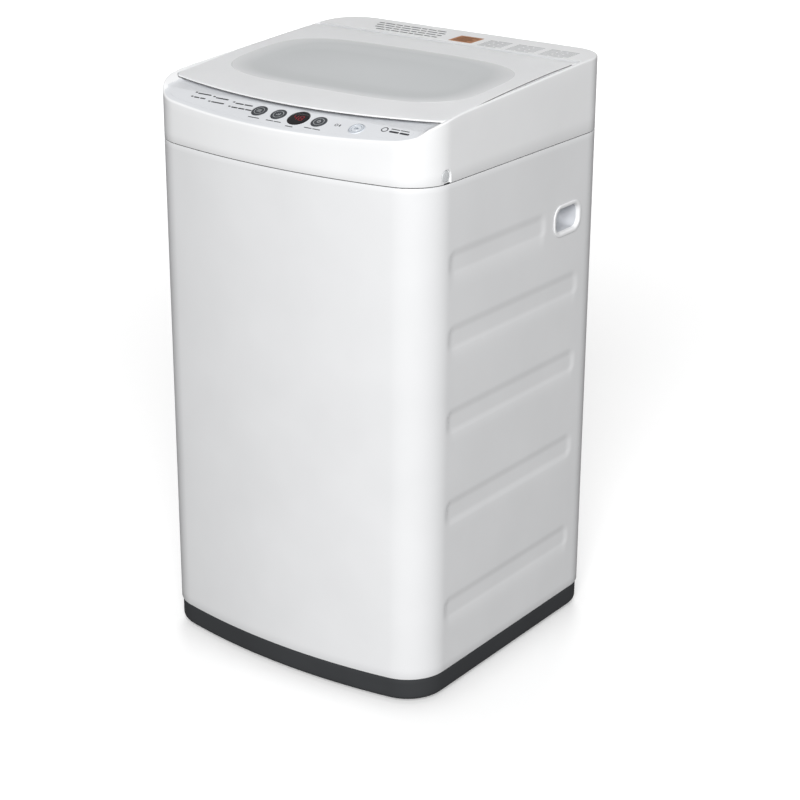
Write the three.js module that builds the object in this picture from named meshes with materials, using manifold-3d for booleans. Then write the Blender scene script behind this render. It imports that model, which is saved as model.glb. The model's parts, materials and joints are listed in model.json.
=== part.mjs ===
// Compact portable top-load washer. Millimetres, +Z up, the front faces -Y.
// Origin: centre of the bounding box's underside, on the floor between the feet.
import * as THREE from 'three';
import { mergeVertices } from 'three/addons/utils/BufferGeometryUtils.js';
import Module from 'manifold-3d';

const wasm = await Module();
wasm.setup();

// ---------- driving dimensions ----------
const GAP = 0.3;                 // clearance between touching pieces
const BODY_WIDTH = 444;
const BODY_FRONT = -230;         // foremost point of the bowed front
const BODY_REAR = 215;
const REAR_LIMIT = 230;          // rear face of the water fittings
const BOW_RADIUS = 913;          // plan radius of the bowed front face
const FRONT_CORNER = 59;
const REAR_CORNER = 52;
const BASE_BOTTOM = 6;
const BASE_TOP = 38;
const SEAM = 704;                // joint between the cabinet and the top cover
const CABINET_WALL = 2.6;
const COVER_WALL = 3;

const RIM_BEND_RADIUS = 240;     // side view: the rim's bend above the control panel
const RIM_TANGENT = { y: -128, z: 786.6 };
const RIM_SLOPE = 0.0583;        // rise of the rim towards the rear
const DECK_FRONT = 143;          // front edge of the rear deck
const DECK_REAR_Z = 804;
const PANEL_FRONT_Z = 753.5;
const PANEL_TILT = 21 * Math.PI / 180;
const PANEL_BREAK_Y = -186;      // the panel flattens behind this line
const PANEL_STRIP_TILT = 8.1 * Math.PI / 180;
const RECESS_FRONT_Y = -158;
const LIP_FRONT_Y = -166;        // the panel is relieved under the lid's front corners from here
const LIP_CLEARANCE = 1.2;
const PANEL_HALF_WIDTH = 203;
const PANEL_SIDE_RUN = 15;       // the panel's sides slope up to the rim over this width
const PANEL_SIDE_RISE = 8;
const FASCIA_HALF_WIDTH = 192;
const RECESS_FLOOR = [[RECESS_FRONT_Y, 766.8], [118, 781.5], [DECK_FRONT, 781.5]];

const LID_RADIUS = 4350;         // the lid's top is a shallow arch along Y
const LID_CREST = { y: 320, z: 806.2 };
const LID_HALF_WIDTH = 216;
const LID_FRONT = -188.5;
const LID_REAR = 142.5;
const LID_BOW_RADIUS = 792;
const LID_CORNER = 10;
const LID_LIP = 3;               // thickness of the overhanging front lip
const LID_DEPTH = 10;
const HINGE = { y: 133.5, z: 793.2, radius: 9 };
const MAGNET = { x: 170, y: -120, halfX: 10, halfY: 4, z0: 774.4, z1: 777.5 };
const WINDOW = { halfX: 192, halfY: 103, y: -22.5, power: 3.6, thickness: 3, ledge: 6 };

const TUB_Y = -14;               // tub axis
const TUB_RADIUS = 184;
const TUB_WALL = 3;
const TUB_BOTTOM = 262;
const TUB_TOP = 700;
const BASKET_RADIUS = 166;
const BASKET_BOTTOM = 290;
const BASKET_TOP = 672;
const BALANCE_TOP = 694;
const THROAT_RADIUS = 140;
const THROAT_BOTTOM = 720;
const ROD_OFFSET = 165;          // suspension rods, from the tub axis in X and Y
const BRACKET_Z = 658;
const ROD_FOOT_Z = 262;
const EAR_Z = 316.6;

const MOTOR_Y = 116;
const BELT_Z = 105;
const DRIVE_PULLEY_RADIUS = 75;
const MOTOR_PULLEY_RADIUS = 24;
const PLATE_Z = 257.7;           // underside of the drive support plate
const DRAIN = { x: -125, y: -30, z: 222, radius: 20 };
const DRAIN_OUTLET_Z = 100;

const BUTTON_Y = -201;           // button row, measured on the panel
const BUTTON_RADIUS = 10.6;
const SMALL_BUTTONS = { program_button: -38, level_button: -7, option_button: 57 };
const START_X = 115;
const DISPLAY_X = 25;

const HANDLE = { y0: 82.5, y1: 149.5, z0: 576, z1: 620, radius: 18, depth: 32, proud: 1 };
const RIB_HEIGHT = 38;
const RIB_DEPTH = 1.4;
const RIB_FRONT = -157;
const RIB_REAR = 148;
const RIB_CORNER = 16;
const RIB_PITCH = 91;
const RIB_SPREAD = 6.9;          // the ribs stand further apart towards the base
const TOP_RIB_Z = 600;
const TOP_RIB_REAR = 64;         // the top rib stops short of the handle
const CAP = { y: -162.5, z: 714.6, radius: 7.5 };
const FEET = { x: 165, front: -165, rear: 165 };
const CORD_HOLE = { x: 120, z: 600 };
const INLET = { x: -120, z: 765, radius: 13, bore: 9 };
const REAR_OPENING = { halfWidth: 160, z0: 70, z1: 642 };
const REAR_PANEL_LAP = 8;        // the rear panel covers this much round its opening
const VENT = { halfWidth: 60, halfHeight: 4, z: 376, pitch: 22 };
const FLOOR_OPENING = 130;       // half width of the opening in the base plinth
const SENSOR = { x: 120, y: 180, z: 752 };
const CAPACITOR = { x: 168, y: 60, radius: 20, top: 78 };
const FILTER = { halfWidth: 24, front: 143, rear: 163.4, z0: 400, z1: 540 };
const BOW_STEPS = 8;             // even, so that a vertex lies on the foremost point
const TUB_SEGMENTS = 36;
const DRIVE_SEGMENTS = 20;

// ---------- shape helpers ----------
const panelZ = (y) => PANEL_FRONT_Z + Math.tan(PANEL_TILT) * (y - BODY_FRONT);
const lidZ = (y) => LID_CREST.z - (LID_CREST.y - y) ** 2 / (2 * LID_RADIUS);

function arc(cx, cy, radius, from, to, steps) {
  return Array.from({ length: steps + 1 }, (_, i) => {
    const angle = from + (to - from) * i / steps;
    return [cx + radius * Math.cos(angle), cy + radius * Math.sin(angle)];
  });
}

function shapeOf(points) {
  const kept = points.filter(([x, y], i) => {
    const [px, py] = points[(i + points.length - 1) % points.length];
    return Math.hypot(x - px, y - py) > 0.01;
  });
  return new THREE.Shape(kept.map(([x, y]) => new THREE.Vector2(x, y)));
}

function roundedRect(x0, x1, y0, y1, radius, steps = 4) {
  const quarter = Math.PI / 2;
  return shapeOf([
    ...arc(x1 - radius, y0 + radius, radius, -quarter, 0, steps),
    ...arc(x1 - radius, y1 - radius, radius, 0, quarter, steps),
    ...arc(x0 + radius, y1 - radius, radius, quarter, 2 * quarter, steps),
    ...arc(x0 + radius, y0 + radius, radius, 2 * quarter, 3 * quarter, steps),
  ]);
}

// Plan outline with a bowed front edge, tangent corner arcs and straight sides.
function bowedOutline({ halfWidth, front, rear, bow, frontCorner, rearCorner, steps = 7 }) {
  const bowCentre = front + bow;
  const cornerX = halfWidth - frontCorner;
  const cornerY = bowCentre - Math.sqrt((bow - frontCorner) ** 2 - cornerX ** 2);
  const tilt = Math.atan2(bowCentre - cornerY, cornerX);
  return shapeOf([
    ...arc(0, bowCentre, bow, Math.PI + tilt, 2 * Math.PI - tilt, BOW_STEPS),
    ...arc(cornerX, cornerY, frontCorner, -tilt, 0, steps),
    ...arc(halfWidth - rearCorner, rear - rearCorner, rearCorner, 0, Math.PI / 2, steps),
    ...arc(rearCorner - halfWidth, rear - rearCorner, rearCorner, Math.PI / 2, Math.PI, steps),
    ...arc(-cornerX, cornerY, frontCorner, Math.PI, Math.PI + tilt, steps),
  ]);
}

const bodyOutline = (inset) => bowedOutline({
  halfWidth: BODY_WIDTH / 2 - inset,
  front: BODY_FRONT + inset,
  rear: BODY_REAR - inset,
  bow: BOW_RADIUS - inset,
  frontCorner: FRONT_CORNER - inset,
  rearCorner: REAR_CORNER - inset,
});

const lidOutline = (grow) => bowedOutline({
  halfWidth: LID_HALF_WIDTH + grow,
  front: LID_FRONT - grow,
  rear: LID_REAR + grow,
  bow: LID_BOW_RADIUS + grow,
  frontCorner: LID_CORNER + grow,
  rearCorner: 2 + grow,
  steps: 6,
});

function windowOutline(inset) {
  const { halfX, halfY, y, power } = WINDOW;
  const steps = 40;
  return shapeOf(Array.from({ length: steps }, (_, i) => {
    const angle = 2 * Math.PI * i / steps;
    const [c, s] = [Math.cos(angle), Math.sin(angle)];
    const px = (halfX - inset) * Math.sign(c) * Math.abs(c) ** (2 / power);
    const py = (halfY - inset) * Math.sign(s) * Math.abs(s) ** (2 / power);
    return [px, y + py];
  }));
}

// ---------- solid helpers ----------
function solid(geometry) {
  const bare = geometry.clone();
  bare.deleteAttribute('normal');
  bare.deleteAttribute('uv');
  const merged = mergeVertices(bare, 1e-4);
  return new wasm.Manifold(new wasm.Mesh({
    numProp: 3,
    vertProperties: new Float32Array(merged.attributes.position.array),
    triVerts: new Uint32Array(merged.index.array),
  }));
}

function geometryOf(manifold) {
  const { vertProperties, triVerts } = manifold.getMesh();
  const geometry = new THREE.BufferGeometry();
  geometry.setAttribute('position', new THREE.BufferAttribute(new Float32Array(vertProperties), 3));
  geometry.setIndex(new THREE.BufferAttribute(new Uint32Array(triVerts), 1));
  geometry.computeVertexNormals();
  return geometry;
}

const extruded = (shape, depth) => new THREE.ExtrudeGeometry(shape, { depth, bevelEnabled: false });

const alongZ = (shape, z0, z1) => solid(extruded(shape, z1 - z0).translate(0, 0, z0));

// A shape drawn in (y, z), extruded along X.
function alongX(shape, x0, x1) {
  const turn = new THREE.Matrix4().makeBasis(
    new THREE.Vector3(0, 1, 0), new THREE.Vector3(0, 0, 1), new THREE.Vector3(1, 0, 0));
  const low = Math.min(x0, x1);
  return solid(extruded(shape, Math.abs(x1 - x0)).applyMatrix4(turn).translate(low, 0, 0));
}

function box(x0, x1, y0, y1, z0, z1) {
  const block = new THREE.BoxGeometry(Math.abs(x1 - x0), y1 - y0, z1 - z0);
  return solid(block.translate((x0 + x1) / 2, (y0 + y1) / 2, (z0 + z1) / 2));
}

// A closed profile of [radius, z] points turned about a vertical axis.
function turned(profile, x = 0, y = 0, segments = 32) {
  const closed = [...profile, profile[0]].map(([r, z]) => new THREE.Vector2(r, z));
  const lathe = new THREE.LatheGeometry(closed, segments);
  return solid(lathe.rotateX(Math.PI / 2).translate(x, y, 0));
}

const tube = (inner, outer, z0, z1, x, y, segments) =>
  turned([[inner, z0], [outer, z0], [outer, z1], [inner, z1]], x, y, segments);

function cylinder(radius, z0, z1, x = 0, y = 0, segments = 16) {
  const drum = new THREE.CylinderGeometry(radius, radius, z1 - z0, segments);
  return solid(drum.rotateX(Math.PI / 2).translate(x, y, (z0 + z1) / 2));
}

function cylinderX(radius, x0, x1, y, z, segments = 16) {
  const drum = new THREE.CylinderGeometry(radius, radius, Math.abs(x1 - x0), segments);
  return solid(drum.rotateZ(Math.PI / 2).translate((x0 + x1) / 2, y, z));
}

function cylinderY(radius, y0, y1, x, z, segments = 16) {
  const drum = new THREE.CylinderGeometry(radius, radius, y1 - y0, segments);
  return solid(drum.translate(x, (y0 + y1) / 2, z));
}

const join = (first, ...rest) => rest.reduce((sum, piece) => sum.add(piece), first);
const cut = (first, ...rest) => rest.reduce((sum, piece) => sum.subtract(piece), first);

// ---------- materials ----------
const paint = (color, roughness, metalness = 0) =>
  new THREE.MeshStandardMaterial({ color, roughness, metalness });

const WHITE = paint(0xe9eaec, 0.35);
const WHITE_PANEL = paint(0xe4e6e9, 0.3);
const SMOKED = new THREE.MeshStandardMaterial({
  color: 0xc3c6c8, roughness: 0.15, transparent: true, opacity: 0.6 });
const GREY_BASE = paint(0x3f4144, 0.55);
const RUBBER = paint(0x1c1c1d, 0.85);
const BUTTON_GREY = paint(0x3c3f43, 0.35);
const BLACK_GLOSS = paint(0x0b0b0c, 0.1);
const INNER_PLASTIC = paint(0xd5d8da, 0.5);
const STEEL = paint(0xb9bcc0, 0.3, 1);
const CAST = paint(0x9a9ea2, 0.5, 0.8);
const DARK_STEEL = paint(0x55585c, 0.45, 0.8);
const BOARD_GREEN = paint(0x1f5a37, 0.5);
const HOSE_GREY = paint(0x6e7276, 0.7);

// ---------- assembly ----------
const group = new THREE.Group();

function add(name, shape, material, parent = group) {
  const mesh = new THREE.Mesh(geometryOf(shape), material);
  mesh.name = name;
  parent.add(mesh);
}

const SIDES = { left: -1, right: 1 };
const CORNERS = {
  front_left: [-1, -1], front_right: [1, -1], rear_left: [-1, 1], rear_right: [1, 1] };

// ---------- cabinet ----------
function handleOpening(side, inset, x0, x1) {
  const { y0, y1, z0, z1, radius } = HANDLE;
  const shape = roundedRect(y0 + inset, y1 - inset, z0 + inset, z1 - inset, radius - inset);
  return alongX(shape, side * x0, side * x1);
}

function sideRibs(side) {
  const half = BODY_WIDTH / 2;
  return [0, 1, 2, 3, 4].map((row) => {
    const z = TOP_RIB_Z - row * RIB_PITCH - row ** 2 * RIB_SPREAD;
    const rear = row === 0 ? TOP_RIB_REAR : RIB_REAR;
    const shape = roundedRect(RIB_FRONT, rear, z - RIB_HEIGHT / 2, z + RIB_HEIGHT / 2, RIB_CORNER, 3);
    return alongX(shape, side * (half - RIB_DEPTH), side * (half + 2));
  });
}

function cornerBracket([sx, sy]) {
  const rodY = TUB_Y + sy * ROD_OFFSET;
  const [x0, x1] = [sx * 140, sx * (BODY_WIDTH / 2)].sort((a, b) => a - b);
  const [y0, y1] = sy < 0 ? [BODY_FRONT, -150] : [126, BODY_REAR];
  const shelf = box(x0, x1, y0, y1, BRACKET_Z, BRACKET_Z + 6);
  const inside = alongZ(bodyOutline(CABINET_WALL / 2), BRACKET_Z - 1, BRACKET_Z + 7);
  return cut(shelf.intersect(inside), cylinder(5, BRACKET_Z - 2, BRACKET_Z + 8, sx * ROD_OFFSET, rodY));
}

function cabinetShell() {
  const z0 = BASE_TOP + GAP;
  const shell = cut(alongZ(bodyOutline(0), z0, SEAM), alongZ(bodyOutline(CABINET_WALL), 0, SEAM + 1));
  const { halfWidth, z0: low, z1: high } = REAR_OPENING;
  const rearOpening = box(-halfWidth, halfWidth, BODY_REAR - 6, BODY_REAR + 1, low, high);
  const walled = join(shell, ...Object.values(CORNERS).map(cornerBracket));
  const slots = Object.values(SIDES).flatMap((side) => [
    ...sideRibs(side), handleOpening(side, 4, 200, 230)]);
  return cut(walled, rearOpening, ...slots);
}

function rearPanel() {
  const y1 = BODY_REAR - CABINET_WALL - GAP;
  const half = REAR_OPENING.halfWidth + REAR_PANEL_LAP;
  const [low, high] = [REAR_OPENING.z0 - REAR_PANEL_LAP, REAR_OPENING.z1 + REAR_PANEL_LAP];
  const plate = box(-half, half, y1 - 2, y1, low, high);
  const vents = [-1, 0, 1].map((row) => {
    const z = VENT.z + row * VENT.pitch;
    return box(-VENT.halfWidth, VENT.halfWidth, y1 - 4, y1 + 1, z - VENT.halfHeight, z + VENT.halfHeight);
  });
  return cut(plate, cylinderY(15.5, y1 - 5, y1 + 5, DRAIN.x, DRAIN_OUTLET_Z), ...vents,
    cylinderY(9.5, y1 - 5, y1 + 5, CORD_HOLE.x, CORD_HOLE.z));
}

function handleCup(side) {
  const outside = BODY_WIDTH / 2;
  const flange = handleOpening(side, 0, outside + GAP, outside + HANDLE.proud + GAP);
  const cup = handleOpening(side, 4 + GAP, outside - HANDLE.depth, outside + HANDLE.proud);
  const hollow = handleOpening(side, 6.5, outside - HANDLE.depth + 2, outside + 5);
  return cut(join(flange, cup), hollow);
}

function basePlinth() {
  const tray = cut(
    alongZ(bodyOutline(2), BASE_BOTTOM, BASE_TOP),
    alongZ(bodyOutline(7), BASE_BOTTOM + 5, BASE_TOP + 1),
    alongZ(roundedRect(-FLOOR_OPENING, FLOOR_OPENING, -FLOOR_OPENING, FLOOR_OPENING, 20), 0, BASE_TOP));
  const studs = Object.values(CORNERS).map(([sx, sy]) =>
    cylinder(6, 0, 40, sx * FEET.x, sy < 0 ? FEET.front : FEET.rear));
  return cut(tray, ...studs);
}

function bottomCover() {
  const z0 = BASE_BOTTOM + 5 + GAP;
  const half = FLOOR_OPENING + 10;
  const slots = [-60, -30, 0, 30, 60].map((x) => box(x - 5, x + 5, -70, 70, z0 - 1, z0 + 3));
  return cut(alongZ(roundedRect(-half, half, -half, half, 24), z0, z0 + 2), ...slots);
}

function foot([sx, sy]) {
  const [x, y] = [sx * FEET.x, sy < 0 ? FEET.front : FEET.rear];
  const top = BASE_BOTTOM - GAP;
  return turned([[0, 0], [16, 0], [19, 2], [19, top], [5.5, top], [5.5, 26], [0, 26]], x, y, 14);
}

function addCabinet() {
  add('cabinet_shell', cabinetShell(), WHITE);
  add('rear_panel', rearPanel(), WHITE);
  add('base_plinth', basePlinth(), GREY_BASE);
  add('bottom_cover', bottomCover(), GREY_BASE);
  for (const [place, corner] of Object.entries(CORNERS)) {
    add(`foot_${place}`, foot(corner), RUBBER);
  }
  for (const [place, side] of Object.entries(SIDES)) {
    add(`handle_cup_${place}`, handleCup(side), WHITE);
  }
}

// ---------- top cover ----------
function rimLine() {
  const start = Math.PI / 2 + Math.atan(RIM_SLOPE);
  const reach = (RIM_TANGENT.y - BODY_FRONT + 2) / RIM_BEND_RADIUS;
  const sweep = Math.asin(Math.sin(Math.atan(RIM_SLOPE)) + reach);
  const cy = RIM_TANGENT.y - RIM_BEND_RADIUS * Math.cos(start);
  const cz = RIM_TANGENT.z - RIM_BEND_RADIUS * Math.sin(start);
  const deckZ = RIM_TANGENT.z + RIM_SLOPE * (DECK_FRONT - RIM_TANGENT.y);
  return [
    ...arc(cy, cz, RIM_BEND_RADIUS, Math.PI / 2 + sweep, start, 8),
    [DECK_FRONT, deckZ],
    [BODY_REAR + 2, DECK_REAR_Z],
  ];
}

const above = (line, top = 830) =>
  shapeOf([...line, [line[line.length - 1][0], top], [line[0][0], top]]);
const below = (line, bottom) =>
  shapeOf([[line[0][0], bottom], [line[line.length - 1][0], bottom], ...[...line].reverse()]);
const lowered = (line, drop) => line.map(([y, z]) => [y, z - drop]);

function lidRecess() {
  const lipFloor = [LIP_FRONT_Y, RECESS_FRONT_Y].map((y) => [y, lidZ(y) - LID_LIP - LIP_CLEARANCE]);
  const pocket = alongZ(lidOutline(0.8), 700, 830);
  return pocket.intersect(alongX(above([...lipFloor, ...RECESS_FLOOR]), -230, 230));
}

// Takes a solid from the panel's own frame, whose origin lies on the button row, to its place.
const panelOnTilt = (shape) => shape
  .rotate([PANEL_TILT * 180 / Math.PI, 0, 0])
  .translate([0, BUTTON_Y, panelZ(BUTTON_Y)]);

// A slab on the tilted panel, cut to the body's plan; its rear edge lies under the lid's lip.
function fasciaSlab(inset, grow, low, high) {
  const half = FASCIA_HALF_WIDTH + grow;
  return panelOnTilt(box(-half, half, -40, 15 + grow, low, high))
    .intersect(alongZ(bodyOutline(inset), 700, 830));
}

const buttonHoles = () => [...Object.values(SMALL_BUTTONS), START_X].map((x) =>
  panelOnTilt(cylinder(BUTTON_RADIUS + 0.5, -12, 4, x, 0, 18)));

const displayHole = (radius) => panelOnTilt(cylinder(radius, -12, 4, DISPLAY_X, 0, 24));

function screwRecess(side) {
  const { y, z, radius } = CAP;
  const half = BODY_WIDTH / 2;
  const arch = shapeOf([
    [y - radius - 1, SEAM - 2], [y + radius + 1, SEAM - 2], ...arc(y, z, radius + 1, 0, Math.PI, 10)]);
  return alongX(arch, side * (half - 2.4), side * (half + 2));
}

// One flat of the panel, with side walls that slope up and out to the rim.
function panelFlat(tilt, y, z) {
  const [half, wide, reach] = [PANEL_HALF_WIDTH, PANEL_HALF_WIDTH + PANEL_SIDE_RUN, 80];
  const section = shapeOf([
    [-half, 0], [half, 0], [wide, PANEL_SIDE_RISE], [wide, reach], [-wide, reach],
    [-wide, PANEL_SIDE_RISE]]);
  const prism = extruded(section, 2 * reach).rotateX(Math.PI / 2).translate(0, reach, 0);
  return solid(prism.rotateX(tilt).translate(0, y, z));
}

// The steep front flat and the shallow strip behind it, which the lid's lip overhangs.
const panelTray = () => join(
  panelFlat(PANEL_TILT, BUTTON_Y, panelZ(BUTTON_Y)),
  panelFlat(PANEL_STRIP_TILT, PANEL_BREAK_Y, panelZ(PANEL_BREAK_Y)));

function topCover() {
  const outer = alongZ(bodyOutline(0), SEAM + 1, 830)
    .intersect(alongX(below(rimLine(), 690), -240, 240));
  const block = cut(outer, panelTray(), lidRecess());
  const inside = alongZ(bodyOutline(COVER_WALL), 690, 830);
  const floorFront = [RECESS_FRONT_Y - COVER_WALL, RECESS_FLOOR[0][1] - COVER_WALL];
  const deckStart = [DECK_FRONT + COVER_WALL, RECESS_FLOOR[2][1] - COVER_WALL];
  const ceiling = [
    ...[BODY_FRONT - 3, PANEL_BREAK_Y].map((y) => [y, panelZ(y) - COVER_WALL - 2]),
    floorFront,
    ...lowered(RECESS_FLOOR.slice(1, 2), COVER_WALL),
    deckStart,
    [DECK_FRONT + COVER_WALL, DECK_REAR_Z - COVER_WALL - 2],
    [BODY_REAR + 2, DECK_REAR_Z - COVER_WALL],
  ];
  const hollow = inside.intersect(alongX(below(ceiling, 690), -240, 240));
  const throatOutside = cylinder(THROAT_RADIUS + COVER_WALL, THROAT_BOTTOM, 820, 0, TUB_Y, TUB_SEGMENTS);
  const throatBore = cylinder(THROAT_RADIUS, 690, 820, 0, TUB_Y, TUB_SEGMENTS);
  const shell = join(cut(block, hollow), block.intersect(throatOutside));
  const fascia = fasciaSlab(8 - GAP, GAP, -1.8, 5);
  const pins = cylinderX(3.3, -220.2, 220.2, HINGE.y, HINGE.z, 12);
  const nozzle = box(-31, 31, 110, 135, 739, 765);
  const spigot = cylinderY(INLET.radius + 0.5, BODY_REAR - 8, BODY_REAR + 2, INLET.x, INLET.z, 20);
  return cut(shell, throatBore, fascia, ...buttonHoles(), displayHole(15.5), pins, nozzle, spigot,
    ...Object.values(SIDES).map(screwRecess));
}

const controlFascia = () =>
  cut(fasciaSlab(8, 0, -1.8 + GAP, 0), ...buttonHoles(), displayHole(15.3));

function panelButton(x, radius) {
  const profile = [
    [0, -12], [3.5, -12], [3.5, -6], [radius, -6], [radius, 0.3], [radius - 0.8, 0.9], [0, 0.9]];
  return panelOnTilt(turned(profile, x, 0, 18));
}

const displayLens = () =>
  panelOnTilt(turned([[0, -6], [15, -6], [15, 0.2], [14.4, 0.6], [0, 0.6]], DISPLAY_X, 0, 28));

function controlBoard() {
  const board = panelOnTilt(box(-60, 140, -15, 12, -16.2, -14.6));
  const blocks = [-50, 86, 130].map((x) => panelOnTilt(box(x - 7, x + 7, -8, 6, -22, -16)));
  return join(board, ...blocks);
}

function screwCap(side) {
  const half = BODY_WIDTH / 2;
  return cylinderX(CAP.radius, side * (half - 2.1), side * (half - 0.6), CAP.y, CAP.z, 20);
}

function addTopCover() {
  add('top_cover', topCover(), WHITE);
  add('control_fascia', controlFascia(), WHITE_PANEL);
  for (const [name, x] of Object.entries(SMALL_BUTTONS)) {
    add(name, panelButton(x, BUTTON_RADIUS), BUTTON_GREY);
  }
  add('start_button', panelButton(START_X, BUTTON_RADIUS), WHITE_PANEL);
  add('display_lens', displayLens(), BLACK_GLOSS);
  add('control_board', controlBoard(), BOARD_GREEN);
  for (const [place, side] of Object.entries(SIDES)) {
    add(`screw_cap_${place}`, screwCap(side), INNER_PLASTIC);
  }
  add('lid_sensor', box(155, 185, -127, -113, 757, 765), GREY_BASE);
}

// ---------- lid ----------
function lidSlab(topDrop, bottomDrop, y0, y1) {
  const steps = 12;
  const ys = Array.from({ length: steps + 1 }, (_, i) => y0 + (y1 - y0) * i / steps);
  const top = ys.map((y) => [y, lidZ(y) - topDrop]);
  const bottom = ys.map((y) => [y, lidZ(y) - bottomDrop]).reverse();
  return alongX(shapeOf([...bottom.reverse(), ...top.reverse()]), -LID_HALF_WIDTH - 4, LID_HALF_WIDTH + 4);
}

function lidFrame() {
  const { y, z, radius } = HINGE;
  const lip = lidSlab(0, LID_LIP, LID_FRONT - 5, RECESS_FRONT_Y + 3);
  const slab = lidSlab(0, LID_DEPTH, RECESS_FRONT_Y + 2, y);
  const barrel = cylinderX(radius, -LID_HALF_WIDTH, LID_HALF_WIDTH, y, z, 24);
  const plate = join(lip, slab, barrel).intersect(alongZ(lidOutline(0), 700, 830));
  const paneSeat = alongZ(windowOutline(-GAP), 700, 830)
    .intersect(lidSlab(-5, WINDOW.thickness + GAP, -180, 120));
  const opening = alongZ(windowOutline(WINDOW.ledge), 700, 830);
  const { x: mx, y: my, halfX, halfY, z1 } = MAGNET;
  const magnetSeat = box(
    mx - halfX - GAP, mx + halfX + GAP, my - halfY - GAP, my + halfY + GAP, 760, z1 + GAP);
  const pins = cylinderX(3.3, -LID_HALF_WIDTH - 1, -196, y, z, 12)
    .add(cylinderX(3.3, 196, LID_HALF_WIDTH + 1, y, z, 12));
  return cut(plate, paneSeat, opening, magnetSeat, pins);
}

const lidWindow = () => alongZ(windowOutline(0), 700, 830)
  .intersect(lidSlab(0, WINDOW.thickness, -160, 110));

function addLid() {
  add('lid_frame', lidFrame(), WHITE);
  add('lid_window', lidWindow(), SMOKED);
  for (const [place, side] of Object.entries(SIDES)) {
    add(`lid_pin_${place}`, cylinderX(3, side * 197, side * 219.5, HINGE.y, HINGE.z, 12), STEEL);
  }
  const { x, y, halfX, halfY, z0, z1 } = MAGNET;
  add('lid_magnet', box(x - halfX, x + halfX, y - halfY, y + halfY, z0, z1), DARK_STEEL);
}

// ---------- water fittings ----------
function inletValve() {
  const { x, z, radius, bore: boreRadius } = INLET;
  const body = box(x - 22, x + 22, 165, 207, z - 23, z + 21);
  const spigot = cylinderY(radius, 200, REAR_LIMIT, x, z, 24);
  const bore = cylinderY(boreRadius, 190, REAR_LIMIT + 1, x, z, 16);
  const coil = cylinder(14, z - 45, z - 22, x, 186, 16);
  return cut(join(body, spigot, coil), bore);
}

function inletSpout() {
  const nozzle = box(-30.5, 30.5, 116, 150, 739.5, 764.5);
  const channel = box(-27.5, 27.5, 110, 146, 742, 762);
  const feed = box(-97.5, -25, 138, 150, 746, 758);
  const feedBore = box(-99, -20, 141, 147, 749, 755);
  return cut(join(nozzle, feed), channel, feedBore);
}

function drainOutlet() {
  const face = BODY_REAR - CABINET_WALL;
  const profile = join(
    cylinderY(15, 186, REAR_LIMIT, DRAIN.x, DRAIN_OUTLET_Z, 24),
    cylinderY(21, face, face + 4, DRAIN.x, DRAIN_OUTLET_Z, 24));
  return cut(profile, cylinderY(11, 180, REAR_LIMIT + 1, DRAIN.x, DRAIN_OUTLET_Z, 16));
}

function cordGland() {
  const { x, z } = CORD_HOLE;
  const face = BODY_REAR - CABINET_WALL;
  const gland = join(
    cylinderY(9, 200, face + 8, x, z, 16),
    cylinderY(14, face, face + 4, x, z, 16));
  return cut(gland, cylinderY(4, 190, face + 9, x, z, 12));
}

function addFittings() {
  add('inlet_valve', inletValve(), INNER_PLASTIC);
  add('inlet_spout', inletSpout(), INNER_PLASTIC);
  add('drain_outlet', drainOutlet(), HOSE_GREY);
  add('cord_gland', cordGland(), RUBBER);
  add('pressure_sensor', join(
    cylinder(24, SENSOR.z, SENSOR.z + 22, SENSOR.x, SENSOR.y, 20),
    cylinder(6, SENSOR.z + 22, SENSOR.z + 44, SENSOR.x, SENSOR.y, 10)), INNER_PLASTIC);
  const { x, y, radius, top } = CAPACITOR;
  add('capacitor', cylinder(radius, BASE_BOTTOM + 5 + GAP, top, x, y, 20), CAST);
}

// ---------- tub and basket ----------
function tubEar([sx, sy]) {
  const [x, y] = [sx * ROD_OFFSET, TUB_Y + sy * ROD_OFFSET];
  const reach = ROD_OFFSET * Math.SQRT2 + 15;
  const tab = box(TUB_RADIUS - 2, reach, -14, 14, EAR_Z, EAR_Z + 10)
    .rotate([0, 0, Math.atan2(sy, sx) * 180 / Math.PI])
    .translate([0, TUB_Y, 0]);
  return cut(tab, cylinder(6.5, EAR_Z - 1, EAR_Z + 11, x, y, 12));
}

function outerTub() {
  const inner = TUB_RADIUS - TUB_WALL;
  const [z0, z1] = [TUB_BOTTOM, TUB_TOP];
  const vessel = turned([
    [22, z0], [TUB_RADIUS - 12, z0], [TUB_RADIUS, z0 + 12], [TUB_RADIUS, z1], [inner, z1],
    [inner, z0 + 14], [inner - 10, z0 + 4], [22, z0 + 4]], 0, TUB_Y, TUB_SEGMENTS);
  const spigot = cylinder(16, 243, z0 + 2, DRAIN.x, DRAIN.y, 20);
  const drainBore = cylinder(12, 240, z0 + 6, DRAIN.x, DRAIN.y, 16);
  return cut(join(vessel, spigot, ...Object.values(CORNERS).map(tubEar)), drainBore);
}

const tubRing = () => turned([
  [150, TUB_TOP + GAP], [TUB_RADIUS + 0.4, TUB_TOP + GAP], [TUB_RADIUS + 0.4, 682],
  [TUB_RADIUS + 3.5, 682], [TUB_RADIUS + 3.5, TUB_TOP + 4], [152, TUB_TOP + 4]], 0, TUB_Y, TUB_SEGMENTS);

function spinBasket() {
  const [z0, z1, wall] = [BASKET_BOTTOM, BASKET_TOP, 1.2];
  const r = BASKET_RADIUS;
  return turned([
    [10, 214], [16, 214], [16, z0 - 14], [30, z0 - 12], [34, z0], [r - 14, z0], [r, z0 + 14], [r, z1],
    [r - wall, z1], [r - wall, z0 + 15], [r - 15, z0 + 1.5], [10, z0 + 1.5]], 0, TUB_Y, TUB_SEGMENTS);
}

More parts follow.
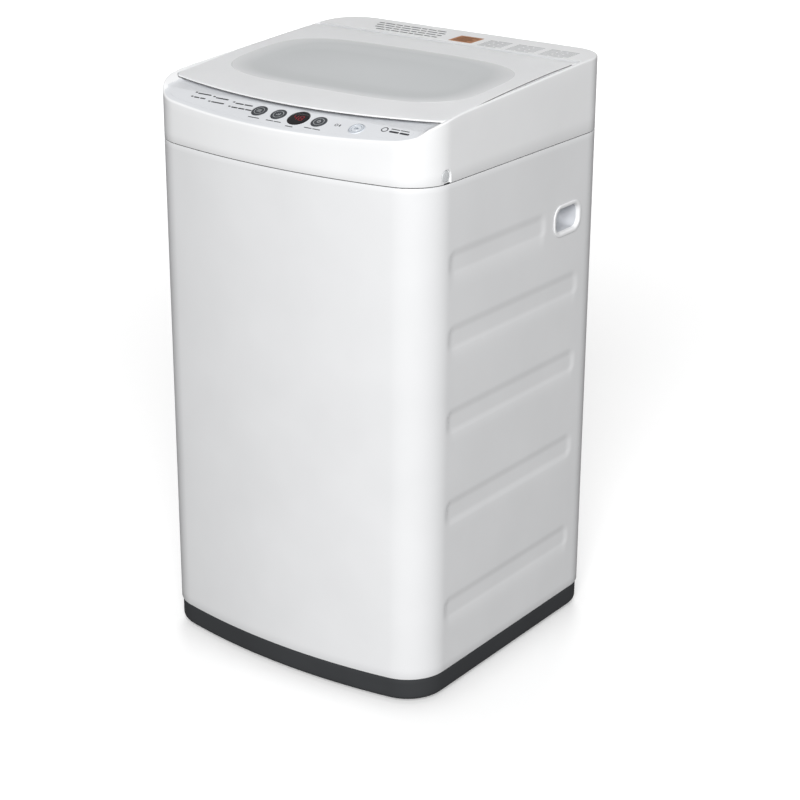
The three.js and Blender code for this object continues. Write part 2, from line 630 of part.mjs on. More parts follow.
const balanceRing = () => turned([
  [THROAT_RADIUS, BASKET_TOP + GAP + 3], [THROAT_RADIUS + 4, BASKET_TOP + GAP],
  [BASKET_RADIUS + 6, BASKET_TOP + GAP], [BASKET_RADIUS + 6, BALANCE_TOP - 4],
  [BASKET_RADIUS + 2, BALANCE_TOP], [THROAT_RADIUS + 6, BALANCE_TOP],
  [THROAT_RADIUS, BALANCE_TOP - 6]], 0, TUB_Y, TUB_SEGMENTS);

// The pulsator: a shallow dish with three swept vanes and a hub.
function pulsator() {
  const z0 = BASKET_BOTTOM + 8;
  const dish = turned([
    [8.3, z0], [134, z0], [138, z0 + 10], [132, z0 + 12], [90, z0 + 9], [40, z0 + 12], [30, z0 + 20],
    [8.3, z0 + 20]], 0, TUB_Y, 30);
  const vane = (i) => alongZ(roundedRect(26, 118, -9, 9, 8.5, 3), z0 + 6, z0 + 24)
    .rotate([0, 0, i * 120 + 90])
    .translate([0, TUB_Y, 0]);
  return join(dish, ...[0, 1, 2].map(vane));
}

function lintFilter() {
  const { halfWidth, front, rear, z0, z1 } = FILTER;
  const bar = alongZ(roundedRect(-halfWidth, halfWidth, front + TUB_Y, rear + TUB_Y, 8), z0, z1);
  const hollow = box(4 - halfWidth, halfWidth - 4, front - 3 + TUB_Y, 158 + TUB_Y, z0 + 12, z1 - 12);
  const fit = cylinder(BASKET_RADIUS - 1.8, z0 - 10, z1 + 10, 0, TUB_Y, TUB_SEGMENTS);
  return cut(bar.intersect(fit), hollow);
}

function suspensionRod([sx, sy]) {
  const seat = BRACKET_Z + 6 + GAP;
  return turned([
    [0, ROD_FOOT_Z], [13, ROD_FOOT_Z], [13, ROD_FOOT_Z + 4], [4, ROD_FOOT_Z + 4], [4, seat],
    [9, seat], [6, seat + 7], [0, seat + 7]], sx * ROD_OFFSET, TUB_Y + sy * ROD_OFFSET, 12);
}

const suspensionSpring = ([sx, sy]) =>
  tube(8.5, 12.5, ROD_FOOT_Z + 4 + GAP, EAR_Z - GAP, sx * ROD_OFFSET, TUB_Y + sy * ROD_OFFSET, 12);

function addTub() {
  add('outer_tub', outerTub(), INNER_PLASTIC);
  add('tub_ring', tubRing(), INNER_PLASTIC);
  add('spin_basket', spinBasket(), STEEL);
  add('balance_ring', balanceRing(), WHITE);
  add('pulsator', pulsator(), WHITE);
  add('pulsator_screw', turned([
    [0, BASKET_BOTTOM + 28 + GAP], [12, BASKET_BOTTOM + 28 + GAP], [11, BASKET_BOTTOM + 34],
    [0, BASKET_BOTTOM + 34]], 0, TUB_Y, 16), STEEL);
  add('lint_filter', lintFilter(), INNER_PLASTIC);
  for (const [place, corner] of Object.entries(CORNERS)) {
    add(`suspension_rod_${place}`, suspensionRod(corner), STEEL);
    add(`suspension_spring_${place}`, suspensionSpring(corner), STEEL);
  }
}

// ---------- drive ----------
function groovedPulley(rim, grooveDepth, x, y, shaftRadius, hubTop) {
  const [z0, z1] = [BELT_Z - 7, BELT_Z + 7];
  const bottom = rim - grooveDepth;
  return turned([
    [shaftRadius, z0], [rim, z0], [rim, BELT_Z - 4.5], [bottom, BELT_Z - 4.5],
    [bottom, BELT_Z + 4.5], [rim, BELT_Z + 4.5], [rim, z1], [shaftRadius + 8, z1],
    [shaftRadius + 8, hubTop], [shaftRadius, hubTop]], x, y, DRIVE_SEGMENTS);
}

function drivePulley() {
  const windows = [0, 1, 2, 3].map((i) => cylinder(15, BELT_Z - 10, BELT_Z + 10, 44, 0, 10)
    .rotate([0, 0, i * 90])
    .translate([0, TUB_Y, 0]));
  return cut(groovedPulley(DRIVE_PULLEY_RADIUS, 7, 0, TUB_Y, 8.3, 125), ...windows);
}

function motorPulley() {
  const pulley = groovedPulley(MOTOR_PULLEY_RADIUS, 7, 0, MOTOR_Y, 5, 118);
  return join(pulley, cylinder(6, BELT_Z - 7, 158, 0, MOTOR_Y, 14));
}

// Runs round both pulleys: two arcs joined by the straight tangent runs.
function beltLoop(drive, motor) {
  const spread = MOTOR_Y - TUB_Y;
  const lean = Math.asin((drive - motor) / spread);
  return shapeOf([
    ...arc(0, MOTOR_Y, motor, lean, Math.PI - lean, 10),
    ...arc(0, TUB_Y, drive, Math.PI - lean, 2 * Math.PI + lean, 26),
  ]);
}

const driveBelt = () => cut(
  alongZ(beltLoop(DRIVE_PULLEY_RADIUS + 1.5, MOTOR_PULLEY_RADIUS + 1.5), BELT_Z - 3.5, BELT_Z + 3.5),
  alongZ(beltLoop(DRIVE_PULLEY_RADIUS - 6, MOTOR_PULLEY_RADIUS - 6), BELT_Z - 5, BELT_Z + 5));

function motor() {
  const housing = turned([
    [0, 136], [34, 136], [44, 142], [52, 152], [52, 232], [44, 244], [20, 248], [0, 248]],
    0, MOTOR_Y, DRIVE_SEGMENTS);
  const ears = [[-46, -22], [46, -22], [-46, 22], [46, 22]].map(([x, y]) =>
    box(x - 7, x + 7, MOTOR_Y + y - 7, MOTOR_Y + y + 7, 200, PLATE_Z - GAP));
  return cut(join(housing, ...ears), cylinder(7, 130, 160, 0, MOTOR_Y, 14));
}

function supportPlate() {
  const plate = alongZ(roundedRect(-85, 85, -90, 172, 30), PLATE_Z, PLATE_Z + 4);
  return cut(plate, cylinder(26, PLATE_Z - 1, PLATE_Z + 5, 0, TUB_Y, 20));
}

const LEVER_PIVOT = [-66, -30];

function gearCase() {
  const top = PLATE_Z - GAP;
  const housing = turned([
    [17.3, 200], [44, 200], [48, 206], [48, 238], [60, 244], [60, top], [17.3, top]], 0, TUB_Y,
    DRIVE_SEGMENTS);
  const [x, y] = LEVER_PIVOT;
  const lug = box(x - 8, -40, y - 8, y + 8, 206, 215.7);
  return join(housing, lug, cylinder(3.5, 214, 226, x, y, 12));
}

function clutchLever() {
  const [x, y] = LEVER_PIVOT;
  const [armX, armY] = [-46, -41];
  const reach = Math.hypot(armX, armY);
  const arm = cut(alongZ(roundedRect(-8, reach + 5, -5, 5, 4.9), 216, 222), cylinder(4, 210, 230))
    .rotate([0, 0, Math.atan2(armY, armX) * 180 / Math.PI]);
  return arm.translate([x, y, 0]);
}

const washShaft = () => turned([
  [0, 92], [8, 92], [8, 200], [8, BASKET_BOTTOM + 28], [0, BASKET_BOTTOM + 28]], 0, TUB_Y, 20);

function drainValve() {
  const { x, y, z, radius } = DRAIN;
  const body = join(
    cylinderY(radius, -52, 10, x, z, 20),
    cylinderY(14, 8, 28, x, z, 20),
    box(x - 17, x + 17, y - 17, y + 17, z, 242.7));
  return cut(body, cylinderY(6, -60, -45, x, z, 12), cylinderY(10, 0, 30, x, z, 12),
    cylinder(11, 230, 245, x, y, 12));
}

const drainStem = () => join(
  cylinderY(5, -106, -47, DRAIN.x, DRAIN.z, 12),
  cylinderY(9, -66, -62, DRAIN.x, DRAIN.z, 14));

const drainActuator = () => join(
  box(DRAIN.x - 25, DRAIN.x + 25, -165, -118, 205, 245),
  box(DRAIN.x - 10, DRAIN.x + 10, -150, -130, 244, TUB_BOTTOM - GAP));

// Flexible hose from the drain valve down to the rear outlet.
function drainHose() {
  const path = new THREE.CatmullRomCurve3([
    new THREE.Vector3(DRAIN.x, 28 + GAP, DRAIN.z),
    new THREE.Vector3(DRAIN.x, 48, DRAIN.z),
    new THREE.Vector3(DRAIN.x, 84, 205),
    new THREE.Vector3(DRAIN.x, 116, 150),
    new THREE.Vector3(DRAIN.x, 148, 108),
    new THREE.Vector3(DRAIN.x, 170, DRAIN_OUTLET_Z),
    new THREE.Vector3(DRAIN.x, 183, DRAIN_OUTLET_Z),
  ]);
  const ring = shapeOf(arc(0, 0, 14, 0, 2 * Math.PI, 12).slice(0, -1));
  return solid(new THREE.ExtrudeGeometry(ring, { steps: 20, bevelEnabled: false, extrudePath: path }));
}

function addDrive() {
  add('support_plate', supportPlate(), DARK_STEEL);
  add('gear_case', gearCase(), CAST);
  add('shaft_seal', tube(16.5, 21.6, 262.2, 270, 0, TUB_Y, 20), RUBBER);
  add('wash_shaft', washShaft(), STEEL);
  add('drive_pulley', drivePulley(), CAST);
  add('drive_belt', driveBelt(), RUBBER);
  add('motor', motor(), DARK_STEEL);
  add('motor_pulley', motorPulley(), CAST);
  add('clutch_lever', clutchLever(), STEEL);
  add('drain_valve', drainValve(), INNER_PLASTIC);
  add('drain_stem', drainStem(), STEEL);
  add('drain_actuator', drainActuator(), INNER_PLASTIC);
  add('drain_hose', drainHose(), HOSE_GREY);
}

addCabinet();
addTopCover();
addLid();
addFittings();
addTub();
addDrive();

export default group;
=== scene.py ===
# Looks of the compact top-load washer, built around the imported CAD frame.
# Lengths are millimetres in the CAD frame (+Z up, front towards -Y) unless a name says otherwise.
import json
import math

import bmesh
import bpy
import numpy as np
from mathutils import Matrix, Vector


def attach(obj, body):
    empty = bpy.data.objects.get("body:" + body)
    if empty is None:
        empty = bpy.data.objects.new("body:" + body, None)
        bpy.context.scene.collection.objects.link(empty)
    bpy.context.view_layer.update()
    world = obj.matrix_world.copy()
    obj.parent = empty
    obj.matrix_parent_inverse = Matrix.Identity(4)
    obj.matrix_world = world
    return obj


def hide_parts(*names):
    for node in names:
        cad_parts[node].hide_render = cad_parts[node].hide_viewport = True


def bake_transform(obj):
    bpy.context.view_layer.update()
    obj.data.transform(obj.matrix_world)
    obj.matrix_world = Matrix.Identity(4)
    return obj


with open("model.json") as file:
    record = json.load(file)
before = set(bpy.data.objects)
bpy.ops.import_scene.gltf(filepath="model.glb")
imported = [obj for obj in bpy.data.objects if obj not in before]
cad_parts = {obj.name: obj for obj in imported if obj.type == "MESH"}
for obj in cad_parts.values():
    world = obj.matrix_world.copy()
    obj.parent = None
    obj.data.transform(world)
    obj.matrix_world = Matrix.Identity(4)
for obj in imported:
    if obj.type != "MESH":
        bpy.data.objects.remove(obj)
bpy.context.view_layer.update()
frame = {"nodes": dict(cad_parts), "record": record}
MM = 0.001
PI = math.pi

# ---------- driving dimensions, as in the CAD ----------
HALF_WIDTH = 222.0
BODY_FRONT = -230.0
BODY_REAR = 215.0
BOW_RADIUS = 913.0
FRONT_CORNER = 59.0
REAR_CORNER = 52.0
BASE_BOTTOM = 6.0
BASE_TOP = 38.0
CABINET_BOTTOM = 38.3
SEAM = 704.0
COVER_BOTTOM = 705.0
CABINET_WALL = 2.6
COVER_WALL = 3.0

RIM_BEND_RADIUS = 240.0
RIM_CENTRE = (-114.0, 547.0)     # y, z of the bend's centre
RIM_TANGENT = (-128.0, 786.6)
RIM_SLOPE = 0.0583
DECK_FRONT = 143.0
DECK_REAR_Z = 804.0
PANEL_FRONT_Z = 753.5
PANEL_TILT = math.radians(21.0)
PANEL_BREAK_Y = -186.0
STRIP_TILT = math.radians(8.1)
PANEL_HALF = 203.0
PANEL_SIDE_SLOPE = 8.0 / 15.0
FASCIA_HALF = 192.0
RECESS_FRONT_Y = -158.0
RECESS_FLOOR = ((-158.0, 118.0, 143.0), (766.8, 781.5, 781.5))

LID_CREST = (320.0, 806.2)
LID_RADIUS = 4350.0
LID_FULLNESS = 0.8
RIM_BELOW_LID = 1.9
LID_HALF = 216.0
LID_FRONT = -188.5
LID_BOW = 792.0
LID_LIP = 3.0
LID_DEPTH = 10.0
SLAB_FRONT = -156.0
HINGE_Y, HINGE_Z, HINGE_RADIUS = 133.5, 793.2, 9.0
WINDOW_Y, WINDOW_X, WINDOW_HALF_Y, WINDOW_POWER = -22.5, 192.0, 103.0, 3.6

TUB_Y = -14.0
TUB_RADIUS = 184.0
BASKET_RADIUS = 166.0
BASKET_BOTTOM, BASKET_TOP = 290.0, 672.0
THROAT_RADIUS = 140.0
THROAT_BOTTOM = 720.0
BUTTON_Y = -201.0
BUTTON_RADIUS = 10.6
SMALL_BUTTONS = {"program": -38.0, "level": -7.0, "option": 57.0}
START_X = 115.0
DISPLAY_X = 25.0
HANDLE = dict(y0=82.5, y1=149.5, z0=576.0, z1=620.0, radius=18.0)
CAP_Y, CAP_Z, CAP_RADIUS = -162.5, 714.6, 7.5
FEET_X, FEET_Y = 165.0, 165.0
SIDES = {"left": -1, "right": 1}
CORNERS = {"front_left": (-1, -1), "front_right": (1, -1), "rear_left": (-1, 1), "rear_right": (1, 1)}


# ---------- outlines ----------
def arc(cx, cy, radius, start, end, steps):
    t = np.linspace(start, end, steps + 1)
    return np.column_stack([cx + radius * np.cos(t), cy + radius * np.sin(t)])


def bowed(half, front, rear, bow, front_corner, rear_corner, steps=16):
    """Plan outline with a bowed front, tangent corner arcs and straight sides."""
    centre = front + bow
    cx = half - front_corner
    cy = centre - math.sqrt((bow - front_corner) ** 2 - cx ** 2)
    tilt = math.atan2(centre - cy, cx)
    return np.vstack([
        arc(0, centre, bow, PI + tilt, 2 * PI - tilt, 3 * steps),
        arc(cx, cy, front_corner, -tilt, 0, steps),
        arc(half - rear_corner, rear - rear_corner, rear_corner, 0, PI / 2, steps),
        arc(rear_corner - half, rear - rear_corner, rear_corner, PI / 2, PI, steps),
        arc(-cx, cy, front_corner, PI, PI + tilt, steps),
    ])


def body_outline(inset=0.0, steps=16):
    return bowed(HALF_WIDTH - inset, BODY_FRONT + inset, BODY_REAR - inset, BOW_RADIUS - inset,
                 FRONT_CORNER - inset, REAR_CORNER - inset, steps)


def lid_outline(grow=0.0):
    return bowed(LID_HALF + grow, LID_FRONT - grow, HINGE_Y + grow, LID_BOW + grow, 10 + grow,
                 1.5 + grow)


def rounded_rect(x0, x1, y0, y1, radius, steps=8):
    return np.vstack([
        arc(x1 - radius, y0 + radius, radius, -PI / 2, 0, steps),
        arc(x1 - radius, y1 - radius, radius, 0, PI / 2, steps),
        arc(x0 + radius, y1 - radius, radius, PI / 2, PI, steps),
        arc(x0 + radius, y0 + radius, radius, PI, 1.5 * PI, steps),
    ])


def superellipse(half_x, half_y, power, angles):
    c, s = np.cos(angles), np.sin(angles)
    reach = (np.abs(c / half_x) ** power + np.abs(s / half_y) ** power) ** (-1 / power)
    return np.column_stack([reach * c, reach * s])


def around(outline, centre, angles):
    """The outline's points that lie in the given directions from a centre inside it."""
    nxt = np.roll(outline, -1, axis=0)
    t = np.linspace(0, 1, 160, endpoint=False)[None, :, None]
    dense = (outline[:, None] * (1 - t) + nxt[:, None] * t).reshape(-1, 2) - centre
    reach = np.interp(angles, np.arctan2(dense[:, 1], dense[:, 0]), np.hypot(*dense.T),
                      period=2 * PI)
    return np.column_stack([centre[0] + reach * np.cos(angles), centre[1] + reach * np.sin(angles)])


def smoothstep(a, b, x):
    t = np.clip((x - a) / (b - a), 0, 1)
    return t * t * (3 - 2 * t)


def softplus(x, width):
    return width * np.logaddexp(0, np.asarray(x) / width)


# ---------- surfaces ----------
def rim_z(y):
    y = np.asarray(y, float)
    cy, cz = RIM_CENTRE
    bend = cz + np.sqrt(np.maximum(RIM_BEND_RADIUS ** 2 - (y - cy) ** 2, 0))
    slope = RIM_TANGENT[1] + RIM_SLOPE * (y - RIM_TANGENT[0])
    deck_start = RIM_TANGENT[1] + RIM_SLOPE * (DECK_FRONT - RIM_TANGENT[0])
    deck = deck_start + (DECK_REAR_Z - deck_start) * (y - DECK_FRONT) / (BODY_REAR + 2 - DECK_FRONT)
    return np.where(y < RIM_TANGENT[0], bend, np.where(y < DECK_FRONT, slope, deck))


def panel_z(y):
    y = np.asarray(y, float)
    front = PANEL_FRONT_Z + math.tan(PANEL_TILT) * (np.minimum(y, PANEL_BREAK_Y) - BODY_FRONT)
    return front + math.tan(STRIP_TILT) * np.maximum(y - PANEL_BREAK_Y, 0)


def top_z(x, y):
    """The cover's top: the rim, with the control panel sunk into its front."""
    side = PANEL_SIDE_SLOPE * softplus(np.abs(x) - PANEL_HALF, 1.6)
    drop = softplus(rim_z(y) - panel_z(y) - side, 0.7)
    return rim_z(y) - drop * (1 - smoothstep(-150, -108, y))


def lid_z(y):
    """Top of the lid: a shallow arch, a hair fuller in front of its hinge."""
    crest_y, crest_z = LID_CREST
    fuller = LID_FULLNESS * (1 - smoothstep(60, 125, y))
    return crest_z + fuller - (crest_y - y) ** 2 / (2 * LID_RADIUS)


def recess_z(y):
    return np.interp(y, *RECESS_FLOOR)


# ---------- meshes ----------
def ring(points, z):
    points = np.asarray(points, float)
    return np.column_stack([points, np.broadcast_to(z, len(points))])


def loft(rings, closed=True):
    """Quads between successive rings; closed joins the last ring to the first, else both ends are capped."""
    count, around_n = len(rings), len(rings[0])
    verts = np.vstack(rings)
    i, j = np.arange(count if closed else count - 1), np.arange(around_n)
    a = (i[:, None] * around_n + j).ravel()
    b = (i[:, None] * around_n + (j + 1) % around_n).ravel()
    nxt = ((i + 1) % count)[:, None] * around_n
    quads = np.column_stack([a, b, (nxt + (j + 1) % around_n).ravel(), (nxt + j).ravel()]).tolist()
    if not closed:
        quads.append(list(range(around_n))[::-1])
        quads.append([(count - 1) * around_n + k for k in range(around_n)])
    return verts, quads


def lathe(profile, x=0.0, y=0.0, steps=64, closed=True):
    """A closed profile of (radius, z) turned about a vertical axis. Radius 0 is allowed."""
    angles = np.linspace(0, 2 * PI, steps, endpoint=False)
    rings = [np.column_stack([x + r * np.cos(angles), y + r * np.sin(angles), np.full(steps, z)])
             for r, z in profile]
    return loft(rings, closed)


def prism(outline, low, high):
    """A closed prism between two heights, which may be numbers or one value per point."""
    return loft([ring(outline, low), ring(outline, high)], closed=False)


def drum(radius, low, high, x=0.0, y=0.0, steps=32):
    return prism(arc(x, y, radius, 0, 2 * PI, steps)[:-1], low, high)


def block(x0, x1, y0, y1, z0, z1):
    return prism(np.array([[x0, y0], [x1, y0], [x1, y1], [x0, y1]], float), z0, z1)


def merged(*parts):
    verts, faces, offset = [], [], 0
    for v, f in parts:
        verts.append(np.asarray(v, float))
        faces += [[k + offset for k in face] for face in f]
        offset += len(v)
    return np.vstack(verts), faces


def placed(part, matrix):
    verts = np.asarray(part[0], float)
    m = np.array(matrix)
    return verts @ m[:3, :3].T + m[:3, 3], part[1]


def turned_to(axis, at=(0, 0, 0)):
    """Turns +Z to the given axis, then moves to a point."""
    rotation = Vector((0, 0, 1)).rotation_difference(Vector(axis)).to_matrix().to_4x4()
    return Matrix.Translation(at) @ rotation


def along_x(outline, x0, x1):
    """A prism of a (y, z) outline between two x places."""
    low, high = sorted((x0, x1))
    rings = [np.column_stack([np.full(len(outline), x), outline]) for x in (low, high)]
    return loft(rings, closed=False)


def tube(path, radius, sides=12, closed=False):
    """A round bar along a path; radius may vary along it."""
    path = np.asarray(path, float)
    radii = np.broadcast_to(radius, len(path))
    ahead = np.roll(path, -1, 0) if closed else np.vstack([path[1:], 2 * path[-1:] - path[-2:-1]])
    behind = np.roll(path, 1, 0) if closed else np.vstack([2 * path[:1] - path[1:2], path[:-1]])
    tangents = ahead - behind
    tangents /= np.linalg.norm(tangents, axis=1)[:, None]
    normal = np.cross(tangents[0], [0.3, 0.5, 0.8])
    normal /= np.linalg.norm(normal)
    angles = np.linspace(0, 2 * PI, sides, endpoint=False)
    rings = []
    for point, tangent, r in zip(path, tangents, radii):
        normal = normal - tangent * (normal @ tangent)
        normal /= np.linalg.norm(normal)
        side = np.cross(tangent, normal)
        rings.append(point + r * (np.cos(angles)[:, None] * normal + np.sin(angles)[:, None] * side))
    return loft(rings, closed)


def mesh_object(name, part):
    mesh = bpy.data.meshes.new(name)
    mesh.from_pydata((np.asarray(part[0]) * MM).tolist(), [], part[1])
    work = bmesh.new()
    work.from_mesh(mesh)
    bmesh.ops.remove_doubles(work, verts=work.verts, dist=1e-7)
    bmesh.ops.dissolve_degenerate(work, edges=work.edges, dist=1e-7)
    bmesh.ops.recalc_face_normals(work, faces=work.faces)
    work.to_mesh(mesh)
    work.free()
    obj = bpy.data.objects.new(name, mesh)
    bpy.context.scene.collection.objects.link(obj)
    return obj


def part_of(obj):
    """Takes an object's mesh back as a part and removes the object."""
    part = (np.array([v.co for v in obj.data.vertices]) / MM,
            [list(p.vertices) for p in obj.data.polygons])
    bpy.data.objects.remove(obj)
    return part


def boolean(obj, operation, *parts):
    """Cuts each part out of obj, or joins it, one after the other."""
    for part in parts:
        tool = mesh_object("tool", part)
        modifier = obj.modifiers.new("cut", "BOOLEAN")
        modifier.operation = operation
        modifier.solver = "MANIFOLD"
        modifier.object = tool
        bpy.context.view_layer.update()
        graph = bpy.context.evaluated_depsgraph_get()
        result = bpy.data.meshes.new_from_object(obj.evaluated_get(graph))
        obj.modifiers.clear()
        obj.data = result
        bpy.data.objects.remove(tool)
    return obj


def finished(obj, material, body, replaces=(), sharp=32.0):
    """Smooth shading with sharp edges kept, material, body, slot and the CAD nodes it stands for."""
    mesh = obj.data
    mesh.shade_smooth()
    mesh.set_sharp_from_angle(angle=math.radians(sharp))
    mesh.materials.clear()
    mesh.materials.append(material)
    if body:
        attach(obj, body)
    if replaces:
        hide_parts(*replaces)
    return obj


def piece(name, part, material, body, replaces=(), sharp=32.0):
    return finished(mesh_object(name, part), material, body, replaces, sharp)


def shade_faces(obj, material, chosen):
    """A second material on the faces that chosen(centre in mm, normal) picks."""
    obj.data.materials.append(material)
    index = len(obj.data.materials) - 1
    for polygon in obj.data.polygons:
        if chosen(polygon.center / MM, polygon.normal):
            polygon.material_index = index


# ---------- materials ----------
def new_material(name, color, roughness, metallic=0.0):
    material = bpy.data.materials.new(name)
    material.use_nodes = True
    shader = material.node_tree.nodes["Principled BSDF"]
    shader.inputs["Base Color"].default_value = (*color, 1)
    shader.inputs["Roughness"].default_value = roughness
    shader.inputs["Metallic"].default_value = metallic
    return material, material.node_tree, shader


def noise(tree, scale, detail=2.0, stretch=(1, 1, 1)):
    coordinates = tree.nodes.new("ShaderNodeTexCoord")
    mapping = tree.nodes.new("ShaderNodeMapping")
    mapping.inputs["Scale"].default_value = stretch
    texture = tree.nodes.new("ShaderNodeTexNoise")
    texture.inputs["Scale"].default_value = scale
    texture.inputs["Detail"].default_value = detail
    tree.links.new(coordinates.outputs["Object"], mapping.inputs["Vector"])
    tree.links.new(mapping.outputs["Vector"], texture.inputs["Vector"])
    return texture.outputs["Fac"]


def spread(tree, value, low, high, socket):
    """Maps a 0.3 to 0.7 noise value to a range and drives a socket with it."""
    node = tree.nodes.new("ShaderNodeMapRange")
    node.inputs["From Min"].default_value = 0.3
    node.inputs["From Max"].default_value = 0.7
    node.inputs["To Min"].default_value = low
    node.inputs["To Max"].default_value = high
    tree.links.new(value, node.inputs["Value"])
    tree.links.new(node.outputs["Result"], socket)


def tint(tree, shader, value, dark, light):
    ramp = tree.nodes.new("ShaderNodeValToRGB")
    ramp.color_ramp.elements[0].position = 0.3
    ramp.color_ramp.elements[1].position = 0.7
    ramp.color_ramp.elements[0].color = (*dark, 1)
    ramp.color_ramp.elements[1].color = (*light, 1)
    tree.links.new(value, ramp.inputs["Fac"])
    tree.links.new(ramp.outputs["Color"], shader.inputs["Base Color"])


def bump(tree, shader, value, strength, distance):
    node = tree.nodes.new("ShaderNodeBump")
    node.inputs["Strength"].default_value = strength
    node.inputs["Distance"].default_value = distance
    tree.links.new(value, node.inputs["Height"])
    tree.links.new(node.outputs["Normal"], shader.inputs["Normal"])


def surface(name, color, roughness, metallic=0.0, vary=0.02, rough_vary=0.05, grain=900.0,
            relief=0.05, depth=0.0002, stretch=(1, 1, 1), coat=0.0):
    """A plain finish: slow colour drift, uneven gloss and a fine surface grain."""
    material, tree, shader = new_material(name, color, roughness, metallic)
    drift = noise(tree, 9.0, 3.0)
    dark = tuple(c * (1 - vary) for c in color)
    light = tuple(min(1.0, c * (1 + vary)) for c in color)
    tint(tree, shader, drift, dark, light)
    spread(tree, noise(tree, 35.0, 3.0), roughness - rough_vary, roughness + rough_vary,
           shader.inputs["Roughness"])
    bump(tree, shader, noise(tree, grain, 2.0, stretch), relief, depth)
    shader.inputs["Coat Weight"].default_value = coat
    shader.inputs["Coat Roughness"].default_value = 0.12
    return material


LID_COLOR = (0.80, 0.807, 0.817)
WINDOW_COLOR = (0.685, 0.705, 0.715)
BORDER_START, BORDER_SHADE = 0.84, 0.94     # share of the way out, share of the colour


def painted_steel():
    return surface("painted_steel", (0.80, 0.805, 0.815), 0.34, grain=420, relief=0.04, coat=0.25)


def cover_plastic():
    return surface("cover_plastic", (0.875, 0.88, 0.888), 0.36, grain=700, relief=0.05, coat=0.1)


def panel_film():
    return surface("panel_film", (0.745, 0.76, 0.785), 0.34, grain=1400, relief=0.03, coat=0.15)


def lid_plastic():
    return surface("lid_plastic", LID_COLOR, 0.36, grain=700, relief=0.05)


def lid_glazing():
    """Tinted sheet: its printed border fades from the lid's colour to the clear middle."""
    material = surface("lid_glazing", WINDOW_COLOR, 0.24, grain=1200, relief=0.02, coat=0.3)
    tree = material.node_tree
    shader = tree.nodes["Principled BSDF"]
    tree.links.remove(shader.inputs["Roughness"].links[0])   # the gloss of the sheet is even
    place = tree.nodes.new("ShaderNodeTexCoord").outputs["Object"]
    split = tree.nodes.new("ShaderNodeSeparateXYZ")
    tree.links.new(place, split.inputs["Vector"])

    def math_node(operation, first, second):
        node = tree.nodes.new("ShaderNodeMath")
        node.operation = operation
        for socket, value in zip(node.inputs, (first, second)):
            if isinstance(value, float):
                socket.default_value = value
            else:
                tree.links.new(value, socket)
        return node.outputs["Value"]

    def share(value, middle, half):
        offset = math_node("SUBTRACT", value, middle * MM)
        ratio = math_node("DIVIDE", math_node("ABSOLUTE", offset, 0.0), half * MM)
        return math_node("POWER", ratio, WINDOW_POWER)

    across = share(split.outputs["X"], 0.0, WINDOW_X)
    along = share(split.outputs["Y"], WINDOW_Y, WINDOW_HALF_Y)
    distance = math_node("POWER", math_node("ADD", across, along), 1 / WINDOW_POWER)
    ramp = tree.nodes.new("ShaderNodeValToRGB")
    stops = ramp.color_ramp.elements
    stops[0].color = (*WINDOW_COLOR, 1)
    stops[1].color = (*LID_COLOR, 1)
    border = stops.new(BORDER_START)
    border.color = (*(channel * BORDER_SHADE for channel in WINDOW_COLOR), 1)
    tree.links.new(distance, ramp.inputs["Fac"])
    tree.links.new(ramp.outputs["Color"], shader.inputs["Base Color"])
    return material


def base_plastic():
    material = surface("base_plastic", (0.043, 0.045, 0.048), 0.62, vary=0.08, grain=1500, relief=0.12)
    material.node_tree.nodes["Principled BSDF"].inputs["Specular IOR Level"].default_value = 0.18
    return material


# Painted shade: a darker grey that stands in for the shadow inside the handle pockets; the cups are moulded
# in the cover's plastic.
def pocket_painted_shade():
    return surface("pocket_painted_shade", (0.58, 0.595, 0.625), 0.5, grain=800, relief=0.06)


# Painted shade: a darker grey for the wall of the lid's recess behind the hinge, standing in for the
# shadowed gap there.
def recess_painted_shade():
    return surface("recess_painted_shade", (0.58, 0.59, 0.60), 0.45, grain=700, relief=0.05)


def rubber():
    return surface("rubber", (0.016, 0.016, 0.017), 0.75, vary=0.15, grain=900, relief=0.15)


def button_plastic():
    return surface("button_plastic", (0.052, 0.056, 0.062), 0.42, vary=0.06, grain=1600, relief=0.05)


def pale_button():
    return surface("pale_button", (0.70, 0.735, 0.78), 0.3, grain=1400, relief=0.03, coat=0.4)


def silver_ring():
    return surface("silver_ring", (0.46, 0.52, 0.60), 0.3, 0.7, grain=1400, relief=0.02)


def ink(name, color):
    return surface(name, color, 0.5, vary=0.1, grain=1800, relief=0.02)


def display_glass():
    return surface("display_glass", (0.006, 0.005, 0.006), 0.12, vary=0.2, grain=1500, relief=0.01,
                   coat=0.6)


def display_glow():
    material, tree, shader = new_material("display_glow", (0.16, 0.008, 0.016), 0.4)
    tint(tree, shader, noise(tree, 600.0), (0.13, 0.006, 0.012), (0.20, 0.010, 0.020))
    shader.inputs["Emission Color"].default_value = (0.9, 0.02, 0.04, 1)
    shader.inputs["Emission Strength"].default_value = 0.16
    return material


def inner_plastic():
    return surface("inner_plastic", (0.62, 0.635, 0.645), 0.45, grain=800, relief=0.08)


def basket_steel():
    return surface("basket_steel", (0.74, 0.745, 0.755), 0.32, 0.72, grain=500, relief=0.12,
                   stretch=(1, 1, 14), rough_vary=0.07)


def bright_steel():
    return surface("bright_steel", (0.55, 0.56, 0.57), 0.32, 1.0, grain=700, relief=0.08,
                   rough_vary=0.08)


def cast_metal():
    return surface("cast_metal", (0.36, 0.365, 0.37), 0.5, 0.9, vary=0.08, grain=260, relief=0.3,
                   depth=0.0004)


def motor_metal():
    return surface("motor_metal", (0.10, 0.105, 0.11), 0.42, 0.7, vary=0.08, grain=420, relief=0.12)


def board_laminate():
    return surface("board_laminate", (0.012, 0.085, 0.036), 0.42, vary=0.2, grain=300, relief=0.2)


def hose_rubber():
    return surface("hose_rubber", (0.15, 0.16, 0.17), 0.6, vary=0.08, grain=700, relief=0.12)


